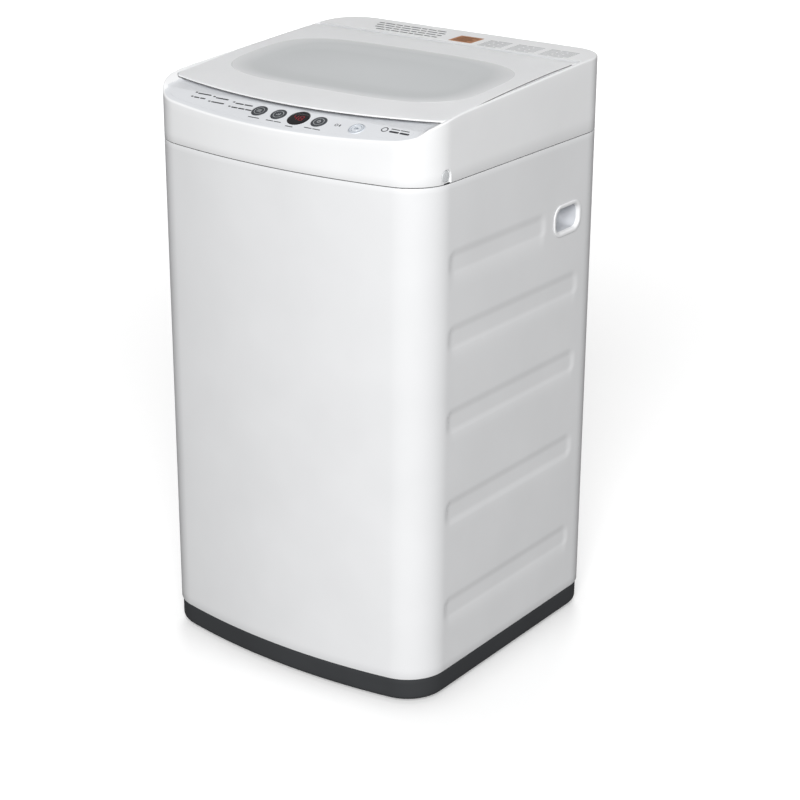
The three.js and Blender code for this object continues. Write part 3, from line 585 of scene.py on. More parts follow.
PAINT = painted_steel()
COVER = cover_plastic()
FILM = panel_film()
LID = lid_plastic()
GLAZING = lid_glazing()
BASE = base_plastic()
POCKET_SHADE = pocket_painted_shade()
RECESS_SHADE = recess_painted_shade()
RUBBER = rubber()
BUTTON = button_plastic()
PALE = pale_button()
SILVER = silver_ring()
DARK_INK = ink("dark_ink", (0.035, 0.037, 0.042))
SOFT_INK = ink("soft_ink", (0.42, 0.43, 0.44))
BUTTON_INK = ink("button_ink", (0.46, 0.475, 0.49))
BROWN_INK = ink("brown_ink", (0.16, 0.06, 0.02))
ORANGE_INK = ink("orange_ink", (0.42, 0.19, 0.085))
GLASS = display_glass()
GLOW = display_glow()
INNER = inner_plastic()
BASKET = basket_steel()
STEEL = bright_steel()
CAST = cast_metal()
MOTOR = motor_metal()
BOARD = board_laminate()
HOSE = hose_rubber()


# ---------- cabinet ----------
RIB_FRONT, RIB_REAR, TOP_RIB_REAR = -157.0, 148.0, 64.0
RIB_HALF_HEIGHT, RIB_DEPTH, RIB_CORNER = 19.0, 1.3, 16.0
RIB_LEVELS = [600.0 - 91.0 * row - 6.9 * row ** 2 for row in range(5)]


def dense_between(low, high, step, fine, marks, reach):
    """Places from low to high, closer together near each mark."""
    places = [low]
    while places[-1] < high:
        near = min(abs(places[-1] - m) for m in marks)
        places.append(places[-1] + (fine if near < reach else step))
    places[-1] = high
    return np.array(places)


def cabinet_columns():
    """Points round the body and their outward normals; closely spaced on the ribbed sides."""
    centre = BODY_FRONT + BOW_RADIUS
    cx = HALF_WIDTH - FRONT_CORNER
    cy = centre - math.sqrt((BOW_RADIUS - FRONT_CORNER) ** 2 - cx ** 2)
    tilt = math.atan2(centre - cy, cx)
    rear = BODY_REAR - REAR_CORNER
    side = dense_between(cy, rear, 9.0, 2.2, [RIB_FRONT + 6, TOP_RIB_REAR - 6, RIB_REAR - 6], 16)[1:-1]
    runs = []
    for mid_x, mid_y, radius, start, end, steps in (
            (0, centre, BOW_RADIUS, PI + tilt, 2 * PI - tilt, 56),
            (cx, cy, FRONT_CORNER, -tilt, 0, 30)):
        t = np.linspace(start, end, steps + 1)
        runs.append((arc(mid_x, mid_y, radius, start, end, steps),
                     np.column_stack([np.cos(t), np.sin(t)])))
    right = (np.column_stack([np.full(len(side), HALF_WIDTH), side]),
             np.tile([1.0, 0.0], (len(side), 1)))
    runs.append(right)
    t = np.linspace(0, PI / 2, 17)
    corner = arc(HALF_WIDTH - REAR_CORNER, rear, REAR_CORNER, 0, PI / 2, 16)
    runs.append((corner, np.column_stack([np.cos(t), np.sin(t)])))
    flat = np.linspace(HALF_WIDTH - REAR_CORNER, 0, 10, endpoint=False)[1:]
    runs.append((np.column_stack([flat, np.full(len(flat), BODY_REAR)]),
                 np.tile([0.0, 1.0], (len(flat), 1))))
    points = np.vstack([r[0] for r in runs[1:]])
    normals = np.vstack([r[1] for r in runs[1:]])
    front_points, front_normals = runs[0]
    rear_mid = (np.array([[0.0, BODY_REAR]]), np.array([[0.0, 1.0]]))
    mirror = np.array([-1.0, 1.0])
    points = np.vstack([front_points[:-1], points, rear_mid[0], points[::-1] * mirror])
    normals = np.vstack([front_normals[:-1], normals, rear_mid[1], normals[::-1] * mirror])
    return points[:-1], normals[:-1]


def rib_dent(y, z):
    """How far the side is pressed in at a place on it."""
    dent = np.zeros(len(y))
    for level in RIB_LEVELS:
        rear = TOP_RIB_REAR if level == RIB_LEVELS[0] else RIB_REAR
        mid, half = (RIB_FRONT + rear) / 2, (rear - RIB_FRONT) / 2
        dy = np.abs(y - mid) - (half - RIB_CORNER)
        dz = abs(z - level) - (RIB_HALF_HEIGHT - RIB_CORNER)
        outside = np.hypot(np.maximum(dy, 0), max(dz, 0))
        inside = RIB_CORNER - outside + np.minimum(np.maximum(dy, dz), 0) * -1
        dent = np.maximum(dent, RIB_DEPTH * smoothstep(-2.0, 11.0, inside))
    return dent


def cabinet_shell():
    points, normals = cabinet_columns()
    on_side = smoothstep(HALF_WIDTH - 9, HALF_WIDTH - 1.5, np.abs(points[:, 0])) * (points[:, 1] < 165)
    edge = 0.9
    marks = [level + s * (RIB_HALF_HEIGHT - 4.5) for level in RIB_LEVELS for s in (-1, 1)]
    levels = dense_between(CABINET_BOTTOM + edge, SEAM - edge, 12.0, 1.7, marks, 8.5)
    rows = [(CABINET_BOTTOM, edge), (CABINET_BOTTOM + 0.3 * edge, 0.3 * edge)]
    rows += [(z, 0.0) for z in levels]
    rows += [(SEAM - 0.3 * edge, 0.3 * edge), (SEAM, edge)]
    rings = [ring(points - normals * (inset + rib_dent(points[:, 1], z) * on_side)[:, None], z)
             for z, inset in rows]
    rings += [ring(points - normals * CABINET_WALL * 1.6, z) for z in (SEAM, CABINET_BOTTOM)]
    obj = mesh_object("cabinet_shell_skin", loft(rings))
    h = HANDLE
    hole = rounded_rect(h["y0"] + 4, h["y1"] - 4, h["z0"] + 4, h["z1"] - 4, h["radius"] - 4)
    boolean(obj, "DIFFERENCE", *[along_x(hole, s * 200, s * 230) for s in (-1, 1)],
            block(-160, 160, 205, 220, 70, 642))
    return finished(obj, PAINT, "cabinet", ["cabinet_shell"])


def handle_cup(place, side):
    """Pressed-in grip with a thin raised flange, a rolled lip and a rounded pocket."""
    h = HANDLE
    face = HALF_WIDTH + 0.3

    def loop(inset, x):
        outline = rounded_rect(h["y0"] + inset, h["y1"] - inset, h["z0"] + inset, h["z1"] - inset,
                               max(h["radius"] - inset, 3), 14)
        return np.column_stack([np.full(len(outline), side * x), outline])

    lip = [(4.4, face - 24), (4.4, face - 0.8), (0.0, face), (0.0, face + 0.35), (0.3, face + 0.8),
           (0.9, face + 1.0), (3.2, face + 1.0), (4.2, face + 0.8), (5.2, face + 0.1), (5.9, face - 1.4)]
    pocket = [(6.5, face - 4), (6.9, face - 12), (7.4, face - 20), (8.4, face - 25), (10.4, face - 28.2),
              (13.5, face - 29.6), (17.0, face - 30.0)]
    back = [(16.5, face - 31.8), (7.0, face - 31.8), (4.8, face - 29), (4.4, face - 24)]
    outside = [loop(inset, x) for inset, x in (back[:-1] + lip)]
    inside = [loop(inset, x) for inset, x in pocket]
    obj = piece(f"handle_cup_{place}_skin", loft(outside + inside, closed=False), COVER, "cabinet",
                [f"handle_cup_{place}"], 50)
    # Painted shade: faces more than 4 mm into the pocket take the darker grey of the shadow inside the cup.
    shade_faces(obj, POCKET_SHADE, lambda centre, normal: abs(centre.x) < face - 4)


def rear_panel():
    """Pressed steel back with a raised border, two stiffening channels and vent slots."""
    y1 = BODY_REAR - CABINET_WALL - 0.3
    xs = np.unique(np.concatenate([np.linspace(-168, 168, 85), [-60, 60]]))
    zs = np.linspace(62, 650, 148)
    gx, gz = np.meshgrid(xs, zs)
    border = np.minimum(168 - np.abs(gx), np.minimum(gz - 62, 650 - gz))
    relief = 1.6 * smoothstep(16, 24, border)
    for level in (200.0, 500.0):
        channel = smoothstep(13, 7, np.abs(gz - level)) * smoothstep(140, 130, np.abs(gx))
        relief = relief * (1 - 0.9 * channel)
    front = np.column_stack([gx.ravel(), (y1 - 2.1 + relief).ravel(), gz.ravel()])
    back = np.column_stack([gx.ravel(), np.full(gx.size, y1 - 3.3), gz.ravel()])
    nx, nz = len(xs), len(zs)
    grid = np.arange(nx * nz).reshape(nz, nx)
    corners = (grid[:-1, :-1], grid[:-1, 1:], grid[1:, 1:], grid[1:, :-1])
    quads = np.column_stack([corner.ravel() for corner in corners])
    edge = np.concatenate([grid[0, :-1], grid[:-1, -1], grid[-1, :0:-1], grid[:0:-1, 0]])
    nxt = np.roll(edge, -1)
    count = nx * nz
    walls = np.column_stack([edge, nxt, nxt + count, edge + count])
    faces = np.vstack([quads, quads[:, ::-1] + count, walls]).tolist()
    obj = mesh_object("rear_panel_skin", (np.vstack([front, back]), faces))
    slots = [placed(prism(rounded_rect(-60, 60, -3.6, 3.6, 3.5), -8, 8),
                    turned_to((0, 1, 0), (0, y1 - 2, 376 + row * 22))) for row in (-1, 0, 1)]
    holes = [placed(drum(r, -8, 8), turned_to((0, 1, 0), (x, y1 - 2, z)))
             for r, x, z in ((15.6, -125, 100), (9.6, 120, 600))]
    boolean(obj, "DIFFERENCE", *slots, *holes)
    finished(obj, PAINT, "cabinet", ["rear_panel"])


def rear_screws():
    """Pan-head screws that hold the back panel."""
    spots = [(x, z) for z in (54, 660) for x in (-150, -50, 50, 150)]
    spots += [(x, z) for x in (-172, 172) for z in (205, 355, 505)]
    profile = [(0, 0.0), (4.2, 0.0), (4.2, 0.5), (3.6, 1.5), (2.2, 2.0), (1.2, 2.1), (1.2, 1.2), (0, 1.2)]
    heads = [placed(lathe(profile, steps=20, closed=False), turned_to((0, 1, 0), (x, BODY_REAR + 0.05, z)))
             for x, z in spots]
    piece("rear_screws", merged(*heads), STEEL, "cabinet", sharp=40)


def base_plinth():
    angles = np.linspace(0, 2 * PI, 480, endpoint=False)
    centre = (0.0, 0.0)

    def at(inset, z):
        return ring(around(body_outline(inset), centre, angles), z)

    opening = around(rounded_rect(-130, 130, -130, 130, 20), centre, angles)
    fillet = [(2 + 7 * (1 - math.cos(t)), BASE_BOTTOM + 7 * (1 - math.sin(t)))
              for t in np.linspace(PI / 2, 0, 7)]
    rings = [ring(opening, BASE_BOTTOM + 5), ring(opening, BASE_BOTTOM), at(16, BASE_BOTTOM)]
    rings += [at(inset, z) for inset, z in fillet]
    rings += [at(2, z) for z in (20, 30, BASE_TOP - 0.8)]
    rings += [at(2.3, BASE_TOP - 0.2), at(2.9, BASE_TOP), at(6.5, BASE_TOP), at(7, BASE_TOP - 0.6),
              at(7, BASE_BOTTOM + 7), at(9, BASE_BOTTOM + 5), at(20, BASE_BOTTOM + 5)]
    obj = mesh_object("base_plinth_skin", loft(rings))
    studs = [drum(6, 0, 40, sx * FEET_X, sy * FEET_Y) for sx in (-1, 1) for sy in (-1, 1)]
    boolean(obj, "DIFFERENCE", *studs)
    finished(obj, BASE, "cabinet", ["base_plinth"])


def feet():
    """Moulded feet: a grooved rubber pad on a threaded stud."""
    top = BASE_BOTTOM - 0.3
    for name, (sx, sy) in CORNERS.items():
        thread = [(5.4 - 0.8 * (k % 2), top + 0.4 + 0.9 * k) for k in range(22)]
        profile = [(0, 0.3), (9, 0.3), (10, 0), (15, 0), (17.6, 0.9), (19, 2.2), (19, top - 0.8),
                   (18.2, top), (5.4, top)] + thread + [(4.2, 25.6), (0, 26)]
        body = "leveling_foot" if name == "front_right" else "cabinet"
        piece(f"foot_{name}_skin", lathe(profile, sx * FEET_X, sy * FEET_Y, 48, closed=False), RUBBER,
              body, [f"foot_{name}"])


# ---------- top cover ----------
AXIS = (0.0, TUB_Y)
PANEL_ORIGIN = (0, BUTTON_Y, float(panel_z(BUTTON_Y)))
PANEL_FRAME = Matrix.Translation(PANEL_ORIGIN) @ Matrix.Rotation(PANEL_TILT, 4, "X")


def recess_outline(grow=0.0):
    half, rear = LID_HALF + 0.8 + grow, DECK_FRONT + 0.3 + grow
    return np.vstack([
        arc(half - 7 - grow, RECESS_FRONT_Y + 7, 7 + grow, -PI / 2, 0, 10),
        arc(half - 3 - grow, rear - 3 - grow, 3 + grow, 0, PI / 2, 8),
        arc(-half + 3 + grow, rear - 3 - grow, 3 + grow, PI / 2, PI, 8),
        arc(-half + 7 + grow, RECESS_FRONT_Y + 7, 7 + grow, PI, 1.5 * PI, 10),
    ])


def cover_angles():
    """Directions for the cover's columns: even, closer at the corners of the lid's recess."""
    even = np.linspace(-PI, PI, 720, endpoint=False)
    extra = []
    for x, y in ((213, -154), (216, 141)):
        for sx in (-1, 1):
            mid = math.atan2(y - TUB_Y, sx * x)
            extra.append(mid + np.linspace(-0.045, 0.045, 19))
    return np.unique(np.round(np.concatenate([even] + extra), 5))


def under_z(y):
    """Underside of the cover's shell."""
    floor = recess_z(y) - COVER_WALL
    return np.where(y < RECESS_FRONT_Y - 2.9, panel_z(y) - 5.5,
                    np.where(y > DECK_FRONT + 3, rim_z(y) - 4.5, floor))


def top_cover():
    angles = cover_angles()

    def body(inset):
        return around(body_outline(inset), AXIS, angles)

    def recess(grow):
        return around(recess_outline(grow), AXIS, angles)

    def circle(radius):
        return np.column_stack([radius * np.cos(angles), TUB_Y + radius * np.sin(angles)])

    edge = 2.6
    wall_top = top_z(*body(edge).T) - edge
    rings = [ring(body(0.8), COVER_BOTTOM), ring(body(0.25), COVER_BOTTOM + 0.25),
             ring(body(0), COVER_BOTTOM + 0.8)]
    for f in (0.2, 0.4, 0.6, 0.8, 1):
        rings.append(ring(body(0), COVER_BOTTOM + 0.8 + f * (wall_top - COVER_BOTTOM - 0.8)))
    for t in np.linspace(0, PI / 2, 9)[1:]:
        points = body(edge * (1 - math.cos(t)))
        base = top_z(*points.T) * math.sin(t) + (wall_top + edge) * (1 - math.sin(t))
        rings.append(ring(points, base - edge * (1 - math.sin(t))))
    lip = 1.0
    start, end = body(edge), recess(lip)

    def rim(points, share):
        """Height of the rim, which falls away beside the lid so that the gap round it stays open to view."""
        beside = smoothstep(-150, -120, points[:, 1]) * (1 - smoothstep(118, 134, points[:, 1]))
        beside = beside * (np.abs(points[:, 0]) > LID_HALF) * smoothstep(0.05, 0.9, share)
        full = top_z(*points.T)
        return full + beside * (np.minimum(full, lid_z(points[:, 1])) - RIM_BELOW_LID - full)

    for f in np.linspace(0, 1, 25)[1:]:
        points = start + (end - start) * f
        rings.append(ring(points, rim(points, f)))
    for t in np.linspace(0, PI / 2, 5)[1:]:
        points = recess(lip * (1 - math.sin(t)))
        rings.append(ring(points, rim(points, 1.0) - lip * (1 - math.cos(t))))
    wall = recess(0)
    rings.append(ring(wall, recess_z(wall[:, 1]) + 1.2))
    rings.append(ring(recess(-0.3), recess_z(wall[:, 1]) + 0.4))
    start, end = recess(-1.0), circle(THROAT_RADIUS + 1.6)
    for f in np.linspace(0, 1, 9):
        points = start + (end - start) * f
        rings.append(ring(points, recess_z(points[:, 1])))
    throat_top = recess_z(end[:, 1])
    for t in np.linspace(0, PI / 2, 5)[1:]:
        points = circle(THROAT_RADIUS + 1.6 * (1 - math.sin(t)))
        rings.append(ring(points, throat_top - 1.6 * (1 - math.cos(t))))
    for f in (0.3, 0.6, 1):
        rings.append(ring(circle(THROAT_RADIUS),
                          throat_top - 1.6 + f * (THROAT_BOTTOM + 1 - throat_top + 1.6)))
    rings += [ring(circle(THROAT_RADIUS + 1), THROAT_BOTTOM),
              ring(circle(THROAT_RADIUS + 2.4), THROAT_BOTTOM),
              ring(circle(THROAT_RADIUS + 3), THROAT_BOTTOM + 1),
              ring(circle(THROAT_RADIUS + 3), throat_top - COVER_WALL)]
    start, end = recess(3.2), body(COVER_WALL)
    rings.append(ring(start, recess_z(start[:, 1]) - COVER_WALL))
    for f in (0.12, 0.5, 1):
        points = start + (end - start) * f
        rings.append(ring(points, under_z(points[:, 1])))
    rings.append(ring(end, COVER_BOTTOM + 12))
    rings.append(ring(end, COVER_BOTTOM))
    obj = mesh_object("top_cover_skin", loft(rings))

    ys = np.linspace(-168, -140, 8)
    section = np.vstack([np.column_stack([ys, lid_z(ys) - 4.2]), [[ys[-1], 830], [ys[0], 830]]])
    pocket = mesh_object("pocket", along_x(section, -230, 230))
    boolean(pocket, "INTERSECT", prism(lid_outline(0.8), 700, 840))
    pocket_part = part_of(pocket)

    fascia = prism(fascia_outline(-0.15), -1.9, 6)
    holes = [drum(BUTTON_RADIUS + 0.5, -14, 6, x, 0, 48) for x in [*SMALL_BUTTONS.values(), START_X]]
    holes.append(drum(15.5, -14, 6, DISPLAY_X, 0, 64))
    pins = placed(drum(3.3, -220.2, 220.2, steps=24), turned_to((1, 0, 0), (0, HINGE_Y, HINGE_Z)))
    spigot = placed(drum(13.5, -10, 10, steps=48), turned_to((0, 1, 0), (-120, BODY_REAR - 1, 765)))
    arches = []
    for side in (-1, 1):
        for grow, depth in ((1.0, 2.4), (1.7, 0.5)):
            radius = CAP_RADIUS + grow
            arch = np.vstack([arc(CAP_Y, CAP_Z, radius, 0, PI, 24),
                              [[CAP_Y - radius, SEAM - 2], [CAP_Y + radius, SEAM - 2]]])
            arches.append(along_x(arch, side * (HALF_WIDTH - depth), side * (HALF_WIDTH + 4)))
    boolean(obj, "DIFFERENCE", pocket_part, placed(fascia, PANEL_FRAME),
            *[placed(hole, PANEL_FRAME) for hole in holes], pins, spigot,
            block(-31, 31, 110, 135, 739, 765), *arches)
    finished(obj, COVER, "cabinet", ["top_cover"], 28)

    def behind_the_lid(centre, normal):
        return normal.y < -0.5 and 142 < centre.y < 144.5 and centre.z > 783

    def on_the_panel(centre, normal):
        ahead = centre.y < RECESS_FRONT_Y and centre.z > 740
        return normal.z > 0.9 and ahead and abs(centre.x) < PANEL_HALF + 4

    # Painted shade: the recess wall behind the lid takes the darker grey of the shadowed gap at the hinge.
    shade_faces(obj, RECESS_SHADE, behind_the_lid)
    shade_faces(obj, FILM, on_the_panel)


def seam_shade_strip():
    """Dark strip in the joint between the cabinet and the cover: painted shade that darkens the groove."""
    outer, inner, low, high = 1.5, 2.4, SEAM - 1.2, SEAM + 1.9
    section = ((outer, low), (outer, high), (inner, high), (inner, low))
    rings = [ring(body_outline(inset), z) for inset, z in section]
    piece("seam_shade_strip", loft(rings), RUBBER, "cabinet")


def fascia_outline(inset=0.0):
    """Outline of the panel's film on the tilted panel, in panel coordinates (x, distance up the slope)."""
    rear = 15.0 - inset
    plan = body_outline(8 + inset, 24)
    front = plan[plan[:, 1] < -150]
    local = np.column_stack([front[:, 0], (front[:, 1] - BUTTON_Y) / math.cos(PANEL_TILT)])
    half = FASCIA_HALF - inset
    keep = local[(np.abs(local[:, 0]) <= half) & (local[:, 1] < rear)]
    keep = keep[np.argsort(keep[:, 0])]
    left_y = np.interp(-half, keep[:, 0], keep[:, 1])
    right_y = np.interp(half, keep[:, 0], keep[:, 1])
    return np.vstack([[[-half, rear], [-half, left_y]], keep, [[half, right_y], [half, rear]]])


def control_fascia():
    outline = fascia_outline(0)
    obj = mesh_object("control_fascia_skin", prism(outline, -1.6, 0.02))
    holes = [drum(BUTTON_RADIUS + 0.3, -5, 5, x, 0, 48) for x in [*SMALL_BUTTONS.values(), START_X]]
    holes.append(drum(15.2, -5, 5, DISPLAY_X, 0, 64))
    boolean(obj, "DIFFERENCE", *holes)
    verts = np.array([v.co for v in obj.data.vertices]) / MM
    m = np.array(PANEL_FRAME)
    verts = verts @ m[:3, :3].T + m[:3, 3]
    obj.data.vertices.foreach_set("co", (verts * MM).astype(np.float32).ravel())
    finished(obj, FILM, "cabinet", ["control_fascia"])


def buttons():
    cap = [(0, 0.55), (3, 0.6), (6.2, 0.7), (6.4, 0.42), (7.2, 0.42), (7.4, 0.72), (9.2, 0.8),
           (9.9, 0.7), (10.4, 0.35), (BUTTON_RADIUS, -0.2), (BUTTON_RADIUS, -6), (3.5, -6),
           (3.5, -12), (0, -12)]
    for name, x in SMALL_BUTTONS.items():
        key = f"{name}_key"
        shape = placed(lathe(cap, x, 0, 64, closed=False), PANEL_FRAME)
        piece(f"{name}_button_skin", shape, BUTTON, key, [f"{name}_button"], 40)
        printed = [annulus(6.45, 7.15, 0.44, x), *button_icon(name, x)]
        piece(f"{name}_button_print", placed(merged(*printed), PANEL_FRAME), BUTTON_INK, key)
    shape = placed(lathe(cap, START_X, 0, 64, closed=False), PANEL_FRAME)
    piece("start_button_skin", shape, PALE, "start_key", ["start_button"], 40)
    icon = [annulus(6.45, 7.15, 0.44, START_X), annulus(9.0, 9.7, 0.86, START_X, 0.1),
            bar(START_X - 2.6, START_X - 1.6, -2.6, 2.6, 0.62), triangle(START_X + 1.2, 0, 2.8, 0.62)]
    piece("start_button_ring", placed(merged(*icon), PANEL_FRAME), SILVER, "start_key")


def annulus(inner, outer, z, x, thick=0.08, steps=64):
    return lathe([(inner, z), (outer, z), (outer, z - thick - 0.2), (inner, z - thick - 0.2)], x, 0,
                 steps)


def bar(x0, x1, y0, y1, z, thick=0.25):
    """A printed bar with rounded ends, standing a hair proud of height z."""
    radius = min(x1 - x0, y1 - y0) * 0.45
    return prism(rounded_rect(x0, x1, y0, y1, radius, 3), z - thick, z + 0.05)


def triangle(x, y, size, z):
    points = np.array([[x - size * 0.55, y - size * 0.8], [x + size * 0.85, y],
                       [x - size * 0.55, y + size * 0.8]])
    return prism(points, z - 0.25, z + 0.05)


def button_icon(name, x):
    z = 0.6
    if name == "program":
        return [bar(x - 3.2, x + 3.2, y - 0.4, y + 0.4, z) for y in (-2, 0, 2)]
    if name == "level":
        return [bar(x + k * 2.1 - 0.5, x + k * 2.1 + 0.5, -2.4, -2.4 + 2 + 1.4 * (k + 1), z)
                for k in (-1, 0, 1)]
    return [lathe([(1.6, z + 0.05), (2.5, z + 0.05), (2.5, z - 0.2), (1.6, z - 0.2)], x, 0, 32),
            bar(x - 0.45, x + 0.45, 0, 3.6, z)]


SEGMENTS = {"4": "bcfg", "8": "abcdefg"}


def display():
    lens = [(0, 0.5), (6, 0.48), (11, 0.42), (13.6, 0.3), (14.5, 0.12), (15, -0.35), (15, -6), (0, -6)]
    shape = placed(lathe(lens, DISPLAY_X, 0, 72, closed=False), PANEL_FRAME)
    piece("display_lens_skin", shape, GLASS, "cabinet", ["display_lens"])
    parts = []
    for digit, mid in (("4", DISPLAY_X - 4.3), ("8", DISPLAY_X + 4.3)):
        w, h, t = 2.6, 3.6, 0.55
        places = {"a": (-w, w, 2 * h - t, 2 * h + t), "g": (-w, w, -t, t),
                  "d": (-w, w, -2 * h - t, -2 * h + t), "f": (-w - t, -w + t, 0, 2 * h),
                  "b": (w - t, w + t, 0, 2 * h),
                  "e": (-w - t, -w + t, -2 * h, 0), "c": (w - t, w + t, -2 * h, 0)}
        for segment in SEGMENTS[digit]:
            x0, x1, y0, y1 = places[segment]
            if y1 - y0 > 2 * t:
                y0, y1 = y0 + 0.6, y1 - 0.6
            else:
                x0, x1 = x0 + 0.4, x1 - 0.4
            parts.append(bar(mid + x0, mid + x1, y0 * 0.62, y1 * 0.62, 0.46, 0.3))
    piece("display_digits", placed(merged(*parts), PANEL_FRAME), GLOW, "cabinet")


def word(x0, x1, y, z, height, words):
    """A row of short bars that stands for a printed line."""
    parts, x, gap = [], x0, 1.2
    width = (x1 - x0 - gap * (words - 1)) / words
    for _ in range(words):
        parts.append(bar(x, x + width, y - height / 2, y + height / 2, z))
        x += width + gap
    return parts


def panel_marks():
    z = 0.02
    stub, gap = 4.0, 1.5
    lines = [(-156, -128, 14.3, 11.8, 1), (-124, -97, 12.0, 8.6, 1), (-88, -54, 8.2, 5.0, 2),
             (-156, -131, 4.6, 3.2, 2), (-124, -97, 0.9, 0.3, 1), (-88, -49, -1.8, -3.2, 3)]
    parts = []
    for x0, x1, y0, y1, words in lines:
        parts += word(x0, x0 + stub, y0, z, 2.3, 1)
        parts += word(x0 + stub + gap, x1, (y0 + y1) / 2, z, 2.3, words)
    for x0, x1, y, words in ((-45, -27, -15, 1), (-16, 8, -15, 2), (18, 30, -19.5, 1),
                             (45, 70, -15.5, 2)):
        parts += word(x0, x1, y, z, 1.5, words)
    parts.append(lathe([(1.6, 0.07), (2.5, 0.07), (2.5, -0.1), (1.6, -0.1)], 84.0, 0.2, 28))
    parts.append(bar(88.2, 90.2, -1.8, 2.6, z))
    mark = [annulus(3.4, 4.8, 0.07, 151.5), *word(159, 186, 3.4, z, 1.6, 2),
            *word(159.5, 189, -2.0, z, 3.4, 2)]
    mark = placed(merged(*mark), Matrix.Translation((0, 8.6, 0)))
    piece("panel_marks", placed(merged(*parts, mark), PANEL_FRAME), DARK_INK, "cabinet")


def deck_bar(x0, x1, y0, y1, lift=0.05):
    outline = rounded_rect(x0, x1, y0, y1, min(x1 - x0, y1 - y0) * 0.3, 3)
    z = rim_z(outline[:, 1])
    return prism(outline, z - 0.3, z + lift)


def deck_marks():
    dark, soft = [], []
    for y, x0, x1 in ((191, -147, -30), (179.5, -141, -22), (168, -134, -18), (156.5, -125, -18)):
        edges = np.linspace(x0, x1, 9) + 2.2 * np.sin(np.arange(9) * 2.3 + y)
        dark += [deck_bar(a, b - 2.2, y - 1.7, y + 1.7) for a, b in zip(edges[:-1], edges[1:])]
    for x0, x1 in ((50, 86), (96, 138), (148, 192)):
        for row, y in enumerate(np.arange(181.0, 148.0, -5.4)):
            middle = x0 + (x1 - x0) * (0.35 + 0.3 * (row % 2))
            soft += [deck_bar(x0, middle - 1, y - 1.3, y + 1.3),
                     deck_bar(middle + 1, x1 - 6 * (row == 6), y - 1.3, y + 1.3)]
    piece("deck_marks_dark", merged(*dark), DARK_INK, "cabinet")
    piece("deck_marks_soft", merged(*soft), SOFT_INK, "cabinet")
    patch = rounded_rect(0, 38, 151, 185, 1.5, 5)
    deck = rim_z(patch[:, 1])
    piece("deck_patch", prism(patch, deck - 0.3, deck + 0.06), ORANGE_INK, "cabinet")
    lines = [deck_bar(5, 33 - 6 * (k % 2), 176 - 6.5 * k, 179.6 - 6.5 * k, 0.1) for k in range(4)]
    piece("deck_patch_marks", merged(*lines), BROWN_INK, "cabinet")


def screw_caps():
    cap = [(0, 1.35), (3, 1.3), (5.6, 1.1), (6.9, 0.8), (7.4, 0.3), (7.5, 0), (0, 0)]
    for place, side in SIDES.items():
        seat = turned_to((side, 0, 0), (side * (HALF_WIDTH - 2.2), CAP_Y, CAP_Z))
        part = placed(lathe(cap, steps=48, closed=False), seat)
        obj = mesh_object(f"screw_cap_{place}_skin", part)
        deep, shallow = side * HALF_WIDTH - 1.6 * side, side * HALF_WIDTH - 1.1 * side
        notch = block(deep - 1, deep + 1, CAP_Y - 1.6, CAP_Y + 1.6, CAP_Z - 7.6, CAP_Z - 6.1)
        hatch = [block(shallow - 0.6, shallow + 0.6, CAP_Y + y - 0.35, CAP_Y + y + 0.35,
                       CAP_Z - 6, CAP_Z + 6) for y in (-4, -2, 0, 2, 4)]
        boolean(obj, "DIFFERENCE", notch, *hatch)
        finished(obj, INNER, "cabinet", [f"screw_cap_{place}"])


# ---------- lid ----------
LID_CENTRE = (0.0, WINDOW_Y)


def lid_angles():
    even = np.linspace(-PI, PI, 600, endpoint=False)
    extra = [math.atan2(y - WINDOW_Y, sx * x) + np.linspace(-0.04, 0.04, 17)
             for x, y in ((211, -160), (215, 132)) for sx in (-1, 1)]
    return np.unique(np.round(np.concatenate([even] + extra), 5))


def window_at(angles, inset):
    return superellipse(WINDOW_X - inset, WINDOW_HALF_Y - inset, WINDOW_POWER,
                        angles) + np.array(LID_CENTRE)


